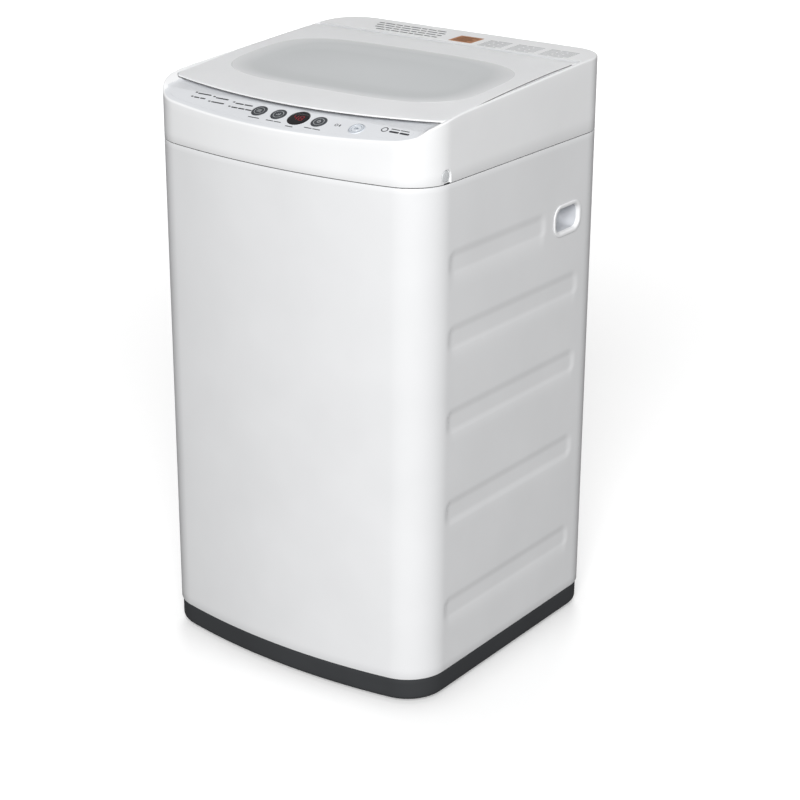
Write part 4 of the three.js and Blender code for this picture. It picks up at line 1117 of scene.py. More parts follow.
def lid_frame():
    angles = lid_angles()

    def outer(inset):
        return around(lid_outline(-inset), LID_CENTRE, angles)

    def at(points, drop):
        return ring(points, lid_z(points[:, 1]) - drop)

    edge = 1.3
    rings = [at(window_at(angles, 6), LID_DEPTH - 0.4), at(window_at(angles, 6), 3.4),
             at(window_at(angles, -0.3), 3.4), at(window_at(angles, -0.3), 0.1)]
    soft = window_at(angles, -12)
    rings.append(at(window_at(angles, -0.4), 0.0))
    finish = outer(edge)
    for f in np.linspace(0, 1, 6)[1:]:
        rings.append(at(soft + (finish - soft) * f, 0.0))
    for t in np.linspace(0, PI / 2, 6)[1:]:
        rings.append(at(outer(edge * (1 - math.sin(t))), edge * (1 - math.cos(t))))
    rings.append(at(outer(0), LID_LIP - 0.6))
    rings.append(at(outer(0.5), LID_LIP))
    body = around(rounded_rect(-LID_HALF, LID_HALF, SLAB_FRONT, HINGE_Y, 1.5), LID_CENTRE, angles)
    reach = np.minimum(np.hypot(*(body - LID_CENTRE).T), np.hypot(*(outer(0.5) - LID_CENTRE).T))
    inner = np.array(LID_CENTRE) + reach[:, None] * np.column_stack([np.cos(angles), np.sin(angles)])
    rings.append(at(inner, LID_LIP + 0.1))
    rings.append(at(inner, LID_DEPTH - 0.8))
    shrink = np.array(LID_CENTRE) + (inner - LID_CENTRE) * (1 - 1.0 / reach)[:, None]
    rings.append(at(shrink, LID_DEPTH))
    start, end = shrink, window_at(angles, 5.6)
    for f in (0.25, 0.5, 0.75, 1):
        rings.append(at(start + (end - start) * f, LID_DEPTH))
    obj = mesh_object("lid_frame_skin", loft(rings))

    barrel_ends = [(0, -LID_HALF), (7.6, -LID_HALF), (HINGE_RADIUS - 0.1, -LID_HALF + 1.4),
                   (HINGE_RADIUS - 0.1, LID_HALF - 1.4), (7.6, LID_HALF), (0, LID_HALF)]
    barrel = placed(lathe(barrel_ends, steps=56, closed=False),
                    turned_to((1, 0, 0), (0, HINGE_Y, HINGE_Z - 0.05)))
    boolean(obj, "UNION", barrel)
    pin_bores = [placed(drum(3.3, 196, 222, steps=24), turned_to((side, 0, 0), (0, HINGE_Y, HINGE_Z)))
                 for side in (-1, 1)]
    magnet = block(159.7, 180.3, -124.3, -115.7, 760, 777.8)
    boolean(obj, "DIFFERENCE", *pin_bores, magnet)
    finished(obj, LID, "lid", ["lid_frame"], 30)


def lid_window():
    angles = lid_angles()

    def at(inset, drop):
        points = window_at(angles, inset)
        return ring(points, lid_z(points[:, 1]) - drop)

    def dish(inset):
        return 1.4 * smoothstep(4, 50, inset)

    rings = [at(inset, 3.1 + dish(inset)) for inset in (98, 60, 30)]
    rings += [at(-0.22, 3.1), at(-0.22, 0.1), at(-0.12, 0.0)]
    rings += [at(inset, dish(inset)) for inset in np.linspace(2, 98, 18)]
    piece("lid_window_skin", loft(rings, closed=False), GLAZING, "lid", ["lid_window"], 40)


def lid_gap_shade_bead():
    """Dark bead that runs along the lid's sides and under its front lip: painted shade for the shadowed gap
    round the lid.
    """
    angles = lid_angles()
    path = around(lid_outline(0.0), LID_CENTRE, angles)
    keep = path[:, 1] < 124
    path = path[keep][np.argsort(np.arctan2(path[keep, 0], -path[keep, 1] + 200))]
    inward = np.array(LID_CENTRE) - path
    inward /= np.linalg.norm(inward, axis=1)[:, None]
    rings = []
    high = np.where(path[:, 1] < SLAB_FRONT, 2.0, 0.5)
    for share, depth in ((0.0, high), (0.0, high + 0.9), (1.4, high + 0.9), (1.4, high)):
        points = path + inward * share
        rings.append(ring(points, lid_z(path[:, 1]) - depth))
    verts, faces = loft([np.array(r) for r in np.transpose(rings, (1, 0, 2))], closed=False)
    piece("lid_gap_shade_bead", (verts, faces), RUBBER, "lid")


# ---------- shared shapes of the working parts ----------
def softened(profile, radius, closed=True, steps=3):
    """The profile with its corners rounded off."""
    points = np.asarray(profile, float)
    rounded = []
    for k, corner in enumerate(points):
        if not closed and k in (0, len(points) - 1):
            rounded.append(corner)
            continue
        before, after = points[k - 1] - corner, points[(k + 1) % len(points)] - corner
        length_before, length_after = np.linalg.norm(before), np.linalg.norm(after)
        reach = min(radius, 0.45 * length_before, 0.45 * length_after)
        start = corner + before / length_before * reach
        end = corner + after / length_after * reach
        for t in np.linspace(0, 1, steps + 1):
            rounded.append((1 - t) ** 2 * start + 2 * t * (1 - t) * corner + t * t * end)
    return rounded


def slab(x0, x1, y0, y1, z0, z1, radius=3.0, edge=0.8):
    """A block with rounded upright corners and eased top and bottom edges."""
    def at(inset, z):
        corner = max(radius - inset, 0.3)
        return ring(rounded_rect(x0 + inset, x1 - inset, y0 + inset, y1 - inset, corner, 5), z)

    return loft([at(edge, z0), at(0.3 * edge, z0 + 0.3 * edge), at(0, z0 + edge), at(0, z1 - edge),
                 at(0.3 * edge, z1 - 0.3 * edge), at(edge, z1)], closed=False)


def lathe_y(profile, x, z, steps=40, closed=True):
    """A profile of (radius, y) turned about a line along Y."""
    return placed(lathe(profile, steps=steps, closed=closed), turned_to((0, 1, 0), (x, 0, z)))


def spun(part, angle, y=TUB_Y):
    """The part turned about a vertical axis on the centre line."""
    axis = Matrix.Translation((0, y, 0))
    return placed(part, axis @ Matrix.Rotation(angle, 4, "Z") @ axis.inverted())


def hex_bolt(x, y, z, size=5.0, height=4.0, down=False):
    """A hexagon head on its washer; down puts the head below z."""
    sign = -1 if down else 1
    washer = [(0, 0), (size * 1.5, 0), (size * 1.5, 1.0 * sign), (0, 1.0 * sign)]
    head = [(0, 1.0 * sign), (size * 1.1, 1.0 * sign), (size * 1.1, height * 0.8 * sign),
            (size * 0.95, height * sign), (0, height * sign)]
    return merged(placed(lathe(washer, steps=24, closed=False), Matrix.Translation((x, y, z))),
                  placed(lathe(head, steps=6, closed=False), Matrix.Translation((x, y, z + 0.05 * sign))))


# ---------- basket, balance ring and pulsator ----------
BEADS = 24
HOLE_ROWS = np.arange(332.0, 652.0, 19.0)


def spin_basket():
    """Thin steel drum with upright pressed beads and rows of drain holes between them."""
    radius, wall, low, high = BASKET_RADIUS, 1.2, BASKET_BOTTOM, BASKET_TOP
    angles = np.linspace(0, 2 * PI, 480, endpoint=False)
    bead = smoothstep(0.78, 0.98, np.cos(BEADS * angles))
    circle = np.column_stack([np.cos(angles), np.sin(angles)])
    centre = np.array([0.0, TUB_Y])

    def at(r, z, depth=0.0):
        return ring(centre + circle * (r - depth * bead)[:, None], z)

    levels = np.array([312, 318, 324, 332, 400, 500, 600, 640, 648, 654, 660], float)
    depths = 1.1 * smoothstep(314, 330, levels) * (1 - smoothstep(642, 656, levels))
    hub = [(10, 214), (16, 214), (16, low - 14), (30, low - 12), (34, low), (60, low + 0.6), (100, low)]
    rings = [at(r, z) for r, z in hub]
    turn = np.linspace(-PI / 2, 0, 7)
    rings += [at(radius - 14 + 14 * math.cos(t), low + 14 + 14 * math.sin(t)) for t in turn]
    rings += [at(radius, z, d) for z, d in zip(levels, depths)]
    rings += [at(radius, high - 1), at(radius - 0.6, high), at(radius - wall, high - 1)]
    rings += [at(radius - wall, z, d) for z, d in zip(levels[::-1], depths[::-1])]
    inner = 14 - wall
    rings += [at(radius - 14 + inner * math.cos(t), low + 14 + inner * math.sin(t)) for t in turn[::-1]]
    rings += [at(100, low + wall), at(60, low + wall + 0.6), at(10, low + wall + 0.3)]
    obj = mesh_object("spin_basket_skin", loft(rings))
    holes = []
    for k in range(2 * BEADS):
        angle = PI / BEADS * (k + 0.5)
        if abs(angle - PI / 2) < 0.2:
            continue
        direction = (math.cos(angle), math.sin(angle), 0)
        for row, z in enumerate(HOLE_ROWS + 9.5 * (k % 2)):
            hole = drum(1.9 + 0.1 * (row % 2), radius - 6, radius + 4, steps=10)
            holes.append(placed(hole, turned_to(direction, (0, TUB_Y, z))))
    boolean(obj, "DIFFERENCE", merged(*holes))
    finished(obj, BASKET, "basket", ["spin_basket"], 40)


def balance_ring():
    """Welded plastic ring: a rolled throat, a weld bead and shallow pockets in its top."""
    profile = softened([(THROAT_RADIUS, 675.3), (144, 672.3), (172, 672.3), (172, 690), (168, 694),
                        (146, 694), (THROAT_RADIUS, 688)], 3.2)
    obj = mesh_object("balance_ring_skin", lathe(profile, 0, TUB_Y, 180))
    pocket = prism(rounded_rect(149, 165, -5.5, 5.5, 3), 692.8, 700)
    centre = Matrix.Translation((0, TUB_Y, 0))
    pockets = [placed(pocket, centre @ Matrix.Rotation(k * PI / 12, 4, "Z")) for k in range(24)]
    boolean(obj, "DIFFERENCE", merged(*pockets))
    finished(obj, INNER, "basket", ["balance_ring"], 35)
    weld = softened([(171.6, 681), (172.7, 681), (172.7, 683), (171.6, 683)], 0.5)
    piece("balance_ring_weld", lathe(weld, 0, TUB_Y, 120), INNER, "basket")


def pulsator_top(radius, angles):
    """Height of the pulsator's upper face: a shallow dish with three swept vanes."""
    dish = np.interp(radius, [8.3, 26, 34, 60, 95, 126, 134, 137],
                     [318, 317.6, 311.5, 309, 307.2, 309.6, 308.6, 305.5])
    tallest = 13.5 * smoothstep(20, 50, radius) * (1 - smoothstep(92, 126, radius))
    height = np.zeros_like(angles)
    for k in range(3):
        middle = PI / 2 + k * 2 * PI / 3 + 0.34 * (radius / 118 - 0.6)
        away = np.abs((angles - middle + PI) % (2 * PI) - PI) * radius
        height = np.maximum(height, tallest * (1 - smoothstep(1.5, 14.0, away)))
    dimpled = smoothstep(112, 116, radius) * (1 - smoothstep(120, 124, radius))
    dimples = 0.5 * smoothstep(0.9, 1.0, np.cos(36 * angles)) * dimpled
    return dish + height - dimples


def pulsator():
    angles = np.linspace(0, 2 * PI, 288, endpoint=False)
    circle = np.column_stack([np.cos(angles), np.sin(angles)])
    centre = np.array([0.0, TUB_Y])

    def at(r, z):
        return ring(centre + circle * r, z)

    base = BASKET_BOTTOM + 8
    radii = np.concatenate([[8.3, 12, 18, 22], np.arange(26.0, 134.0, 2.6), [134, 136, 137.2]])
    rings = [at(r, pulsator_top(r, angles)) for r in radii]
    rings += [at(138, 303.5), at(137.5, base + 1.5), at(134, base), at(60, base), at(8.3, base)]
    obj = mesh_object("pulsator_skin", loft(rings))
    drains = []
    for turn in range(6):
        for radius in (44, 62, 80):
            hole = drum(2.0, 290, 330, radius, TUB_Y, 12)
            drains.append(spun(hole, PI / 6 + turn * PI / 3 + 0.12 * (radius / 40)))
    boolean(obj, "DIFFERENCE", merged(*drains))
    finished(obj, COVER, "agitator", ["pulsator"], 40)


def pulsator_screw():
    head = softened([(0, 318.4), (12, 318.4), (11.6, 322.4), (8, 323.8), (0, 324)], 1.4, closed=False)
    obj = mesh_object("pulsator_screw_skin", lathe(head, 0, TUB_Y, 48, closed=False))
    cross = [block(-5.5, 5.5, TUB_Y - 0.9, TUB_Y + 0.9, 321.8, 330),
             block(-0.9, 0.9, TUB_Y - 5.5, TUB_Y + 5.5, 321.8, 330)]
    boolean(obj, "DIFFERENCE", *cross)
    finished(obj, STEEL, "agitator", ["pulsator_screw"], 35)


def lint_filter():
    """A moulded frame on the basket's wall, closed in front by a fine grid."""
    y0, y1, low, high = 143 + TUB_Y, 163.4 + TUB_Y, 400.0, 540.0
    obj = mesh_object("lint_filter_skin", slab(-24, 24, y0, y1 + 6, low, high, 8, 1.6))
    boolean(obj, "INTERSECT", drum(BASKET_RADIUS - 2.4, low - 4, high + 4, 0, TUB_Y, 180))
    boolean(obj, "DIFFERENCE", block(-20, 20, y0 - 3, 158 + TUB_Y, low + 12, high - 12))
    upright = [block(x - 0.45, x + 0.45, y0 + 1.6, y0 + 2.6, low + 11, high - 11)
               for x in np.linspace(-17, 17, 11)]
    across = [block(-20.5, 20.5, y0 + 1.2, y0 + 2.1, z - 0.45, z + 0.45)
              for z in np.linspace(low + 16, high - 16, 31)]
    rib = [block(-20.5, 20.5, y0 + 0.6, y0 + 3.4, z - 1, z + 1) for z in (low + 47, high - 47)]
    finished(obj, INNER, "basket", ["lint_filter"], 35)
    piece("lint_filter_grid", merged(*upright, *across, *rib), INNER, "basket")


# ---------- tub and suspension ----------
ROD_OFFSET = 165.0
SPRING_BOTTOM, SPRING_TOP = 266.3, 316.3


def tub_ear(sx, sy):
    """Lug that rests on a suspension spring, with two gussets."""
    reach = ROD_OFFSET * math.sqrt(2)
    tab = slab(TUB_RADIUS - 3, reach + 15, -14, 14, 316.6, 326.6, 6, 1.0)
    gussets = [block(TUB_RADIUS - 3, reach - 18, y - 1.5, y + 1.5, 326, 344) for y in (-11, 11)]
    turn = Matrix.Translation((0, TUB_Y, 0)) @ Matrix.Rotation(math.atan2(sy, sx), 4, "Z")
    return placed(tab, turn), [placed(g, turn) for g in gussets]


def outer_tub():
    inner = TUB_RADIUS - 3
    profile = [(22, 262), (TUB_RADIUS - 12, 262), (TUB_RADIUS, 274)]
    for z in (350, 430, 510, 590, 670):
        profile += [(TUB_RADIUS, z - 2), (TUB_RADIUS + 2.4, z - 1.2), (TUB_RADIUS + 2.4, z + 1.2),
                    (TUB_RADIUS, z + 2)]
    profile += [(TUB_RADIUS, 700), (inner, 700), (inner, 276), (inner - 10, 266), (22, 266)]
    obj = mesh_object("outer_tub_skin", lathe(softened(profile, 1.6, steps=2), 0, TUB_Y, 144))
    for sx, sy in CORNERS.values():
        tab, gussets = tub_ear(sx, sy)
        boolean(obj, "UNION", tab, *gussets)
    spout = softened([(0, 243), (16, 243), (16, 263), (0, 263)], 0.8, closed=False)
    spigot = lathe(spout, -125, -30, 40, closed=False)
    ribs = [spun(block(TUB_RADIUS - 1, TUB_RADIUS + 2.2, TUB_Y - 1.2, TUB_Y + 1.2, 280, 676),
                 k * PI / 10 + 0.15) for k in range(20)]
    boolean(obj, "UNION", spigot, merged(*ribs))
    bores = [drum(6.5, 310, 330, sx * ROD_OFFSET, TUB_Y + sy * ROD_OFFSET, 32)
             for sx, sy in CORNERS.values()]
    boolean(obj, "DIFFERENCE", merged(*bores), drum(12, 240, 268, -125, -30, 40))
    finished(obj, INNER, "tub", ["outer_tub"], 35)


def tub_ring():
    """Splash ring clipped over the tub's rim."""
    outer = TUB_RADIUS + 3.5
    profile = softened([(150, 700.3), (TUB_RADIUS + 0.4, 700.3), (TUB_RADIUS + 0.4, 682),
                        (outer, 682), (outer, 704), (152, 704)], 1.2)
    clips = [spun(slab(outer - 0.6, outer + 2.6, TUB_Y - 7, TUB_Y + 7, 680, 698, 1.4, 0.6),
                  (k + 0.5) * PI / 6) for k in range(12)]
    obj = mesh_object("tub_ring_skin", lathe(profile, 0, TUB_Y, 160))
    boolean(obj, "UNION", merged(*clips))
    finished(obj, INNER, "tub", ["tub_ring"], 35)


def suspension():
    """Rods with a spring seat below and a domed head above, each with its coil spring."""
    turns, wire, coil = 5.5, 1.7, 10.5
    for name, (sx, sy) in CORNERS.items():
        x, y = sx * ROD_OFFSET, TUB_Y + sy * ROD_OFFSET
        rod = softened([(0, 262), (13, 262), (13, 265.9), (7, 265.9), (4, 266.2), (4, 664.4),
                        (9, 664.4), (8.6, 667.5), (5, 671), (0, 671.3)], 1.0, closed=False)
        piece(f"suspension_rod_{name}_skin", lathe(rod, x, y, 32, closed=False), STEEL, "cabinet",
              [f"suspension_rod_{name}"], 35)
        t = np.linspace(0, 1, 150)
        rise = smoothstep(0.06, 0.94, t) * 0.35 + 0.65 * np.clip((t - 0.08) / 0.84, 0, 1)
        z = SPRING_BOTTOM + wire + (SPRING_TOP - SPRING_BOTTOM - 2 * wire) * rise
        angle = 2 * PI * (turns + 1) * t + math.atan2(sy, sx)
        path = np.column_stack([x + coil * np.cos(angle), y + coil * np.sin(angle), z])
        spring = mesh_object(f"suspension_spring_{name}_skin", tube(path, wire, 10))
        spring = finished(spring, STEEL, None, [f"suspension_spring_{name}"])
        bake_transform(spring)


def shaft_seal():
    profile = softened([(16.5, 262.2), (21.6, 262.2), (21.6, 270), (19.5, 270), (18.6, 267), (17.6, 270),
                        (16.5, 270)], 0.5)
    piece("shaft_seal_skin", lathe(profile, 0, TUB_Y, 56), RUBBER, "tub", ["shaft_seal"])


# ---------- drive ----------
MOTOR_Y = 116.0
BELT_Z = 105.0
PLATE_Z = 257.7
DRIVE_RADIUS, MOTOR_PULLEY_RADIUS = 75.0, 24.0


def support_plate():
    """Pressed plate that carries the gear case and the motor, with a hole for the shaft."""
    obj = mesh_object("support_plate_skin", slab(-85, 85, -90, 172, PLATE_Z, PLATE_Z + 4, 30, 1.0))
    slots = [prism(rounded_rect(x - 5, x + 5, -60, -10 + 6 * k, 4.5), 250, 270)
             for k, x in enumerate((-72, 72))]
    boolean(obj, "DIFFERENCE", drum(26, 250, 270, 0, TUB_Y, 56), merged(*slots))
    finished(obj, STEEL, "tub", ["support_plate"], 35)
    places = ((-70, 60), (70, 60), (-74, 156), (74, 156), (-40, -78), (40, -78))
    heads = [hex_bolt(x, y, PLATE_Z - 0.1, 4.2, 4.6, down=True) for x, y in places]
    piece("support_plate_bolts", merged(*heads), STEEL, "tub", sharp=35)


def gear_case():
    """Cast gear housing with cooling ribs and the clutch lever's lug."""
    top = PLATE_Z - 0.3
    profile = softened([(17.3, 200), (44, 200), (48, 206), (48, 238), (60, 244), (60, top),
                        (17.3, top)], 2.0)
    obj = mesh_object("gear_case_skin", lathe(profile, 0, TUB_Y, 72))
    rib = block(43, 56, TUB_Y - 1.6, TUB_Y + 1.6, 208, 246)
    ribs = [spun(rib, k * PI / 6 + PI / 12) for k in range(12)]
    lug = slab(-74, -40, -38, -22, 206, 215.7, 3, 0.8)
    boolean(obj, "UNION", merged(*ribs), lug, drum(3.5, 214, 226, -66, -30, 24))
    finished(obj, CAST, "tub", ["gear_case"], 32)
    screws = [spun(hex_bolt(38, TUB_Y, 200.1, 3.2, 3.6, down=True), k * PI / 3) for k in range(6)]
    piece("gear_case_screws", merged(*screws), STEEL, "tub", sharp=35)


def wash_shaft():
    profile = [(0, 92), (7, 92), (8, 93), (8, 126), (8, 198), (7.2, 198.6), (7.2, 200.4), (8, 201),
               (8, 310), (7.4, 311), (7.4, 318), (0, 318)]
    nut = lathe([(8.2, 92.5), (14, 92.5), (14, 97.6), (8.2, 97.6)], 0, TUB_Y, 6)
    piece("wash_shaft_skin", lathe(profile, 0, TUB_Y, 40, closed=False), STEEL, "agitator",
          ["wash_shaft"], 30)
    piece("wash_shaft_nut", nut, STEEL, "agitator", sharp=30)


def grooved(rim, depth, shaft, hub_top):
    """Section of a V-belt pulley with its hub; a large one is thinned between rim and hub."""
    low, high = BELT_Z - 7, BELT_Z + 7
    bottom = rim - depth
    web = [(shaft + 8, high)]
    if rim > 40:
        web = [(rim - 12, high), (rim - 12, high - 4), (shaft + 8, high - 4)]
    return softened([(shaft, low), (rim, low), (rim, BELT_Z - 4.5), (bottom, BELT_Z - 2.6),
                     (bottom, BELT_Z + 2.6), (rim, BELT_Z + 4.5), (rim, high), *web,
                     (shaft + 8, hub_top), (shaft, hub_top)], 0.8)


def pulleys():
    obj = mesh_object("drive_pulley_skin", lathe(grooved(DRIVE_RADIUS, 7, 8.3, 125), 0, TUB_Y, 120))
    windows = [spun(drum(13, 90, 120, 42, TUB_Y, 40), k * PI / 3) for k in range(6)]
    boolean(obj, "DIFFERENCE", merged(*windows))
    finished(obj, CAST, "agitator", ["drive_pulley"], 30)
    obj = mesh_object("motor_pulley_skin", lathe(grooved(MOTOR_PULLEY_RADIUS, 7, 5, 118), 0, MOTOR_Y, 64))
    shaft = softened([(0, BELT_Z - 8), (6, BELT_Z - 8), (6, 158), (0, 158)], 0.6, closed=False)
    boolean(obj, "UNION", lathe(shaft, 0, MOTOR_Y, 32, closed=False))
    finished(obj, CAST, "motor_rotor", ["motor_pulley"], 30)


def drive_belt():
    """V-belt round both pulleys, with moulded cogs on its inner side."""
    spread = MOTOR_Y - TUB_Y
    lean = math.asin((DRIVE_RADIUS - MOTOR_PULLEY_RADIUS) / spread)

    def loop(offset):
        small = arc(0, MOTOR_Y, MOTOR_PULLEY_RADIUS + offset, lean, PI - lean, 40)
        large = arc(0, TUB_Y, DRIVE_RADIUS + offset, PI - lean, 2 * PI + lean, 120)
        run = np.linspace(0, 1, 41)[1:-1, None]
        return np.vstack([small, small[-1] + (large[0] - small[-1]) * run, large,
                          large[-1] + (small[0] - large[-1]) * run])

    outer, inner = loop(1.2), loop(-5.2)
    cog = np.where(np.arange(len(outer)) % 4 < 2, 0.0, 0.22)[:, None]
    inner = inner + (outer - inner) * cog
    rings = [ring(outer, BELT_Z + 3.5), ring(outer, BELT_Z - 3.5), ring(inner, BELT_Z - 2.3),
             ring(inner, BELT_Z + 2.3)]
    piece("drive_belt_skin", loft(rings), RUBBER, "tub", ["drive_belt"], 25)


def motor():
    """Capacitor-run motor: two end bells round a laminated stator, with cooling slots and four lugs."""
    bell = softened([(0, 136), (34, 136), (44, 142), (52, 152), (52, 232), (44, 244), (20, 248),
                     (0, 248)], 3, closed=False, steps=5)
    obj = mesh_object("motor_skin", lathe(bell, 0, MOTOR_Y, 96, closed=False))
    lugs = [slab(x - 7, x + 7, MOTOR_Y + y - 7, MOTOR_Y + y + 7, 200, PLATE_Z - 0.3, 2.5, 0.8)
            for x in (-46, 46) for y in (-22, 22)]
    boolean(obj, "UNION", *lugs)
    beside_lugs = (1, 2, 9, 10)
    slots = []
    for k in range(24):
        for low, high in ((146, 160), (224, 238)):
            if low > 200 and k % 12 in beside_lugs:
                continue
            slot = slab(32, 60, MOTOR_Y - 1.8, MOTOR_Y + 1.8, low, high, 1.5, 0.3)
            slots.append(spun(slot, (k + 0.5) * PI / 12, MOTOR_Y))
    boolean(obj, "DIFFERENCE", merged(*slots), drum(7, 130, 160, 0, MOTOR_Y, 32))
    finished(obj, MOTOR, "tub", ["motor"], 32)
    stack = [(52.1, 172)]
    for k in range(20):
        stack += [(53.2, 172.4 + 1.2 * k), (53.2, 173.1 + 1.2 * k), (52.6, 173.2 + 1.2 * k),
                  (52.6, 173.5 + 1.2 * k)]
    stack += [(52.1, 197)]
    piece("motor_stator", lathe(stack, 0, MOTOR_Y, 96), STEEL, "tub", sharp=30)


def drain_parts():
    """Drain valve, its pull rod and the actuator under the tub."""
    x, z = -125.0, 222.0
    body = softened([(0, -52), (20, -52), (20, -46), (18.4, -45), (18.4, 4), (20, 5), (20, 10),
                     (14, 11), (14, 28), (0, 28)], 1.0, closed=False)
    obj = mesh_object("drain_valve_skin", lathe_y(body, x, z, 56, closed=False))
    boolean(obj, "UNION", slab(x - 17, x + 17, -47, -13, z, 242.7, 5, 0.6))
    boolean(obj, "DIFFERENCE", lathe_y([(0, -60), (6, -60), (6, -45), (0, -45)], x, z, 32, closed=False),
            lathe_y([(0, 0), (10, 0), (10, 30), (0, 30)], x, z, 32, closed=False),
            drum(11, 230, 245, x, -30, 40))
    finished(obj, INNER, "tub", ["drain_valve"], 32)
    stem = softened([(0, -106), (5, -106), (5, -66), (9, -66), (9, -62), (5, -62), (5, -47), (0, -47)],
                    0.6, closed=False)
    piece("drain_stem_skin", lathe_y(stem, x, z, 32, closed=False), STEEL, "valve_stem",
          ["drain_stem"], 32)
    case = slab(x - 25, x + 25, -165, -118, 205, 245, 5, 1.2)
    lug = slab(x - 10, x + 10, -150, -130, 244, 261.7, 2, 0.6)
    obj = mesh_object("drain_actuator_skin", case)
    boolean(obj, "UNION", lug, slab(x - 20, x + 20, -168, -160, 212, 238, 2, 0.6),
            slab(x + 24, x + 30, -150, -134, 212, 226, 1, 0.4))
    finished(obj, INNER, "tub", ["drain_actuator"], 32)


HOSE_ROUTE = ((28.3, 222), (48, 222), (84, 205), (116, 150), (148, 108), (170, 100), (183, 100))


def drain_hose():
    """Corrugated hose from the valve to the outlet, fixed to the tub and to the cabinet."""
    knots = np.array(HOSE_ROUTE, float)
    extended = np.vstack([2 * knots[0] - knots[1], knots, 2 * knots[-1] - knots[-2]])
    path = []
    for k in range(1, len(extended) - 2):
        p0, p1, p2, p3 = extended[k - 1:k + 3]
        for t in np.linspace(0, 1, 40, endpoint=False):
            path.append(0.5 * (2 * p1 + (p2 - p0) * t + (2 * p0 - 5 * p1 + 4 * p2 - p3) * t ** 2
                               + (3 * p1 - p0 - 3 * p2 + p3) * t ** 3))
    path = np.array(path + [knots[-1]])
    travel = np.concatenate([[0], np.cumsum(np.linalg.norm(np.diff(path, axis=0), axis=1))])
    along = np.linspace(0, travel[-1], 420)
    route = np.column_stack([np.full(len(along), -125.0), np.interp(along, travel, path[:, 0]),
                             np.interp(along, travel, path[:, 1])])
    smooth_end = np.minimum(smoothstep(8, 14, along), smoothstep(8, 14, travel[-1] - along))
    radius = 13.6 - smooth_end * 1.7 * (0.5 + 0.5 * np.cos(2 * PI * along / 5.2))
    hose = finished(mesh_object("drain_hose_skin", tube(route, radius, 28)), HOSE, None,
                    ["drain_hose"], 50)
    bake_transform(hose)


# ---------- water, power and control fittings ----------
def inlet_valve():
    """Solenoid inlet valve with a threaded spigot through the cover's rear wall."""
    x, z = -120.0, 765.0
    y_and_z_swapped = Matrix(((1, 0, 0, 0), (0, 0, 1, 0), (0, 1, 0, 0), (0, 0, 0, 1)))
    body = placed(slab(-22, 22, -23, 21, 165, 207, 4, 1.2),
                  Matrix.Translation((x, 0, z)) @ y_and_z_swapped)
    obj = mesh_object("inlet_valve_skin", body)
    thread = [(0, 200), (12.2, 200), (12.2, 214)]
    for k in range(8):
        thread += [(12.9, 214.4 + 1.8 * k), (12.9, 215 + 1.8 * k), (12.0, 215.6 + 1.8 * k),
                   (12.0, 216 + 1.8 * k)]
    thread += [(12.4, 229.4), (11.8, 230), (0, 230)]
    coil = softened([(0, z - 45), (14, z - 45), (14, z - 22), (0, z - 22)], 1.2, closed=False)
    boolean(obj, "UNION", lathe_y(thread, x, z, 56, closed=False),
            lathe(coil, x, 186, 40, closed=False))
    boolean(obj, "DIFFERENCE", lathe_y([(0, 190), (9, 190), (9, 232), (0, 232)], x, z, 40, closed=False))
    finished(obj, INNER, "cabinet", ["inlet_valve"], 30)
    strainer = [lathe_y([(r, 222), (r + 0.7, 222), (r + 0.7, 222.8), (r, 222.8)], x, z, 32)
                for r in (1.6, 4.2, 6.8)]
    strainer += [placed(block(-8.8, 8.8, -0.4, 0.4, 222, 222.8),
                        turned_to((0, 1, 0), (x, 0, z)) @ Matrix.Rotation(k * PI / 3, 4, "Z"))
                 for k in range(3)]
    piece("inlet_strainer", merged(*strainer), STEEL, "cabinet")


def inlet_spout():
    obj = mesh_object("inlet_spout_skin", slab(-30.5, 30.5, 116, 150, 739.5, 764.5, 3, 0.8))
    boolean(obj, "UNION", slab(-97.5, -25, 138, 150, 746, 758, 2, 0.5))
    boolean(obj, "DIFFERENCE", block(-27.5, 27.5, 110, 146, 742, 762),
            block(-99, -20, 141, 147, 749, 755))
    fins = [block(x - 0.6, x + 0.6, 118, 145, 741.6, 747) for x in np.linspace(-22, 22, 9)]
    boolean(obj, "UNION", merged(*fins))
    finished(obj, INNER, "cabinet", ["inlet_spout"], 32)


def drain_outlet():
    """Barbed outlet with a flange on the back panel."""
    face = BODY_REAR - CABINET_WALL
    profile = [(11, 186), (15, 186), (15, face), (21, face), (21, face + 3.4), (20.2, face + 4),
               (14, face + 4)]
    for y in (218, 222, 226):
        profile += [(13.2, y), (15, y + 0.4), (13.6, y + 3.4)]
    profile += [(12.8, 230), (11, 230)]
    piece("drain_outlet_skin", lathe_y(profile, -125, 100, 64), HOSE, "cabinet",
          ["drain_outlet"], 30)


def cord_gland():
    """Ribbed strain-relief bush."""
    face = BODY_REAR - CABINET_WALL
    profile = [(4, 200), (9, 200), (9, face), (14, face), (14, face + 2.6), (12.6, face + 4),
               (9, face + 4), (8.4, face + 4.6), (8.8, face + 5.2), (8.2, face + 5.8),
               (8.6, face + 6.4), (7.6, face + 8), (4, face + 8)]
    piece("cord_gland_skin", lathe_y(profile, 120, 600, 48), RUBBER, "cabinet",
          ["cord_gland"], 30)


def pressure_sensor():
    x, y, low = 120.0, 180.0, 752.0
    profile = [(0, low), (22, low), (24, low + 2), (24, low + 8), (22.6, low + 9), (22.6, low + 12),
               (24, low + 13), (24, low + 20), (21, low + 22), (6, low + 22), (5, low + 24),
               (5, low + 34), (6, low + 35.5), (4.4, low + 43), (3.6, low + 44), (0, low + 44)]
    piece("pressure_sensor_skin", lathe(profile, x, y, 56, closed=False), INNER, "cabinet",
          ["pressure_sensor"], 30)


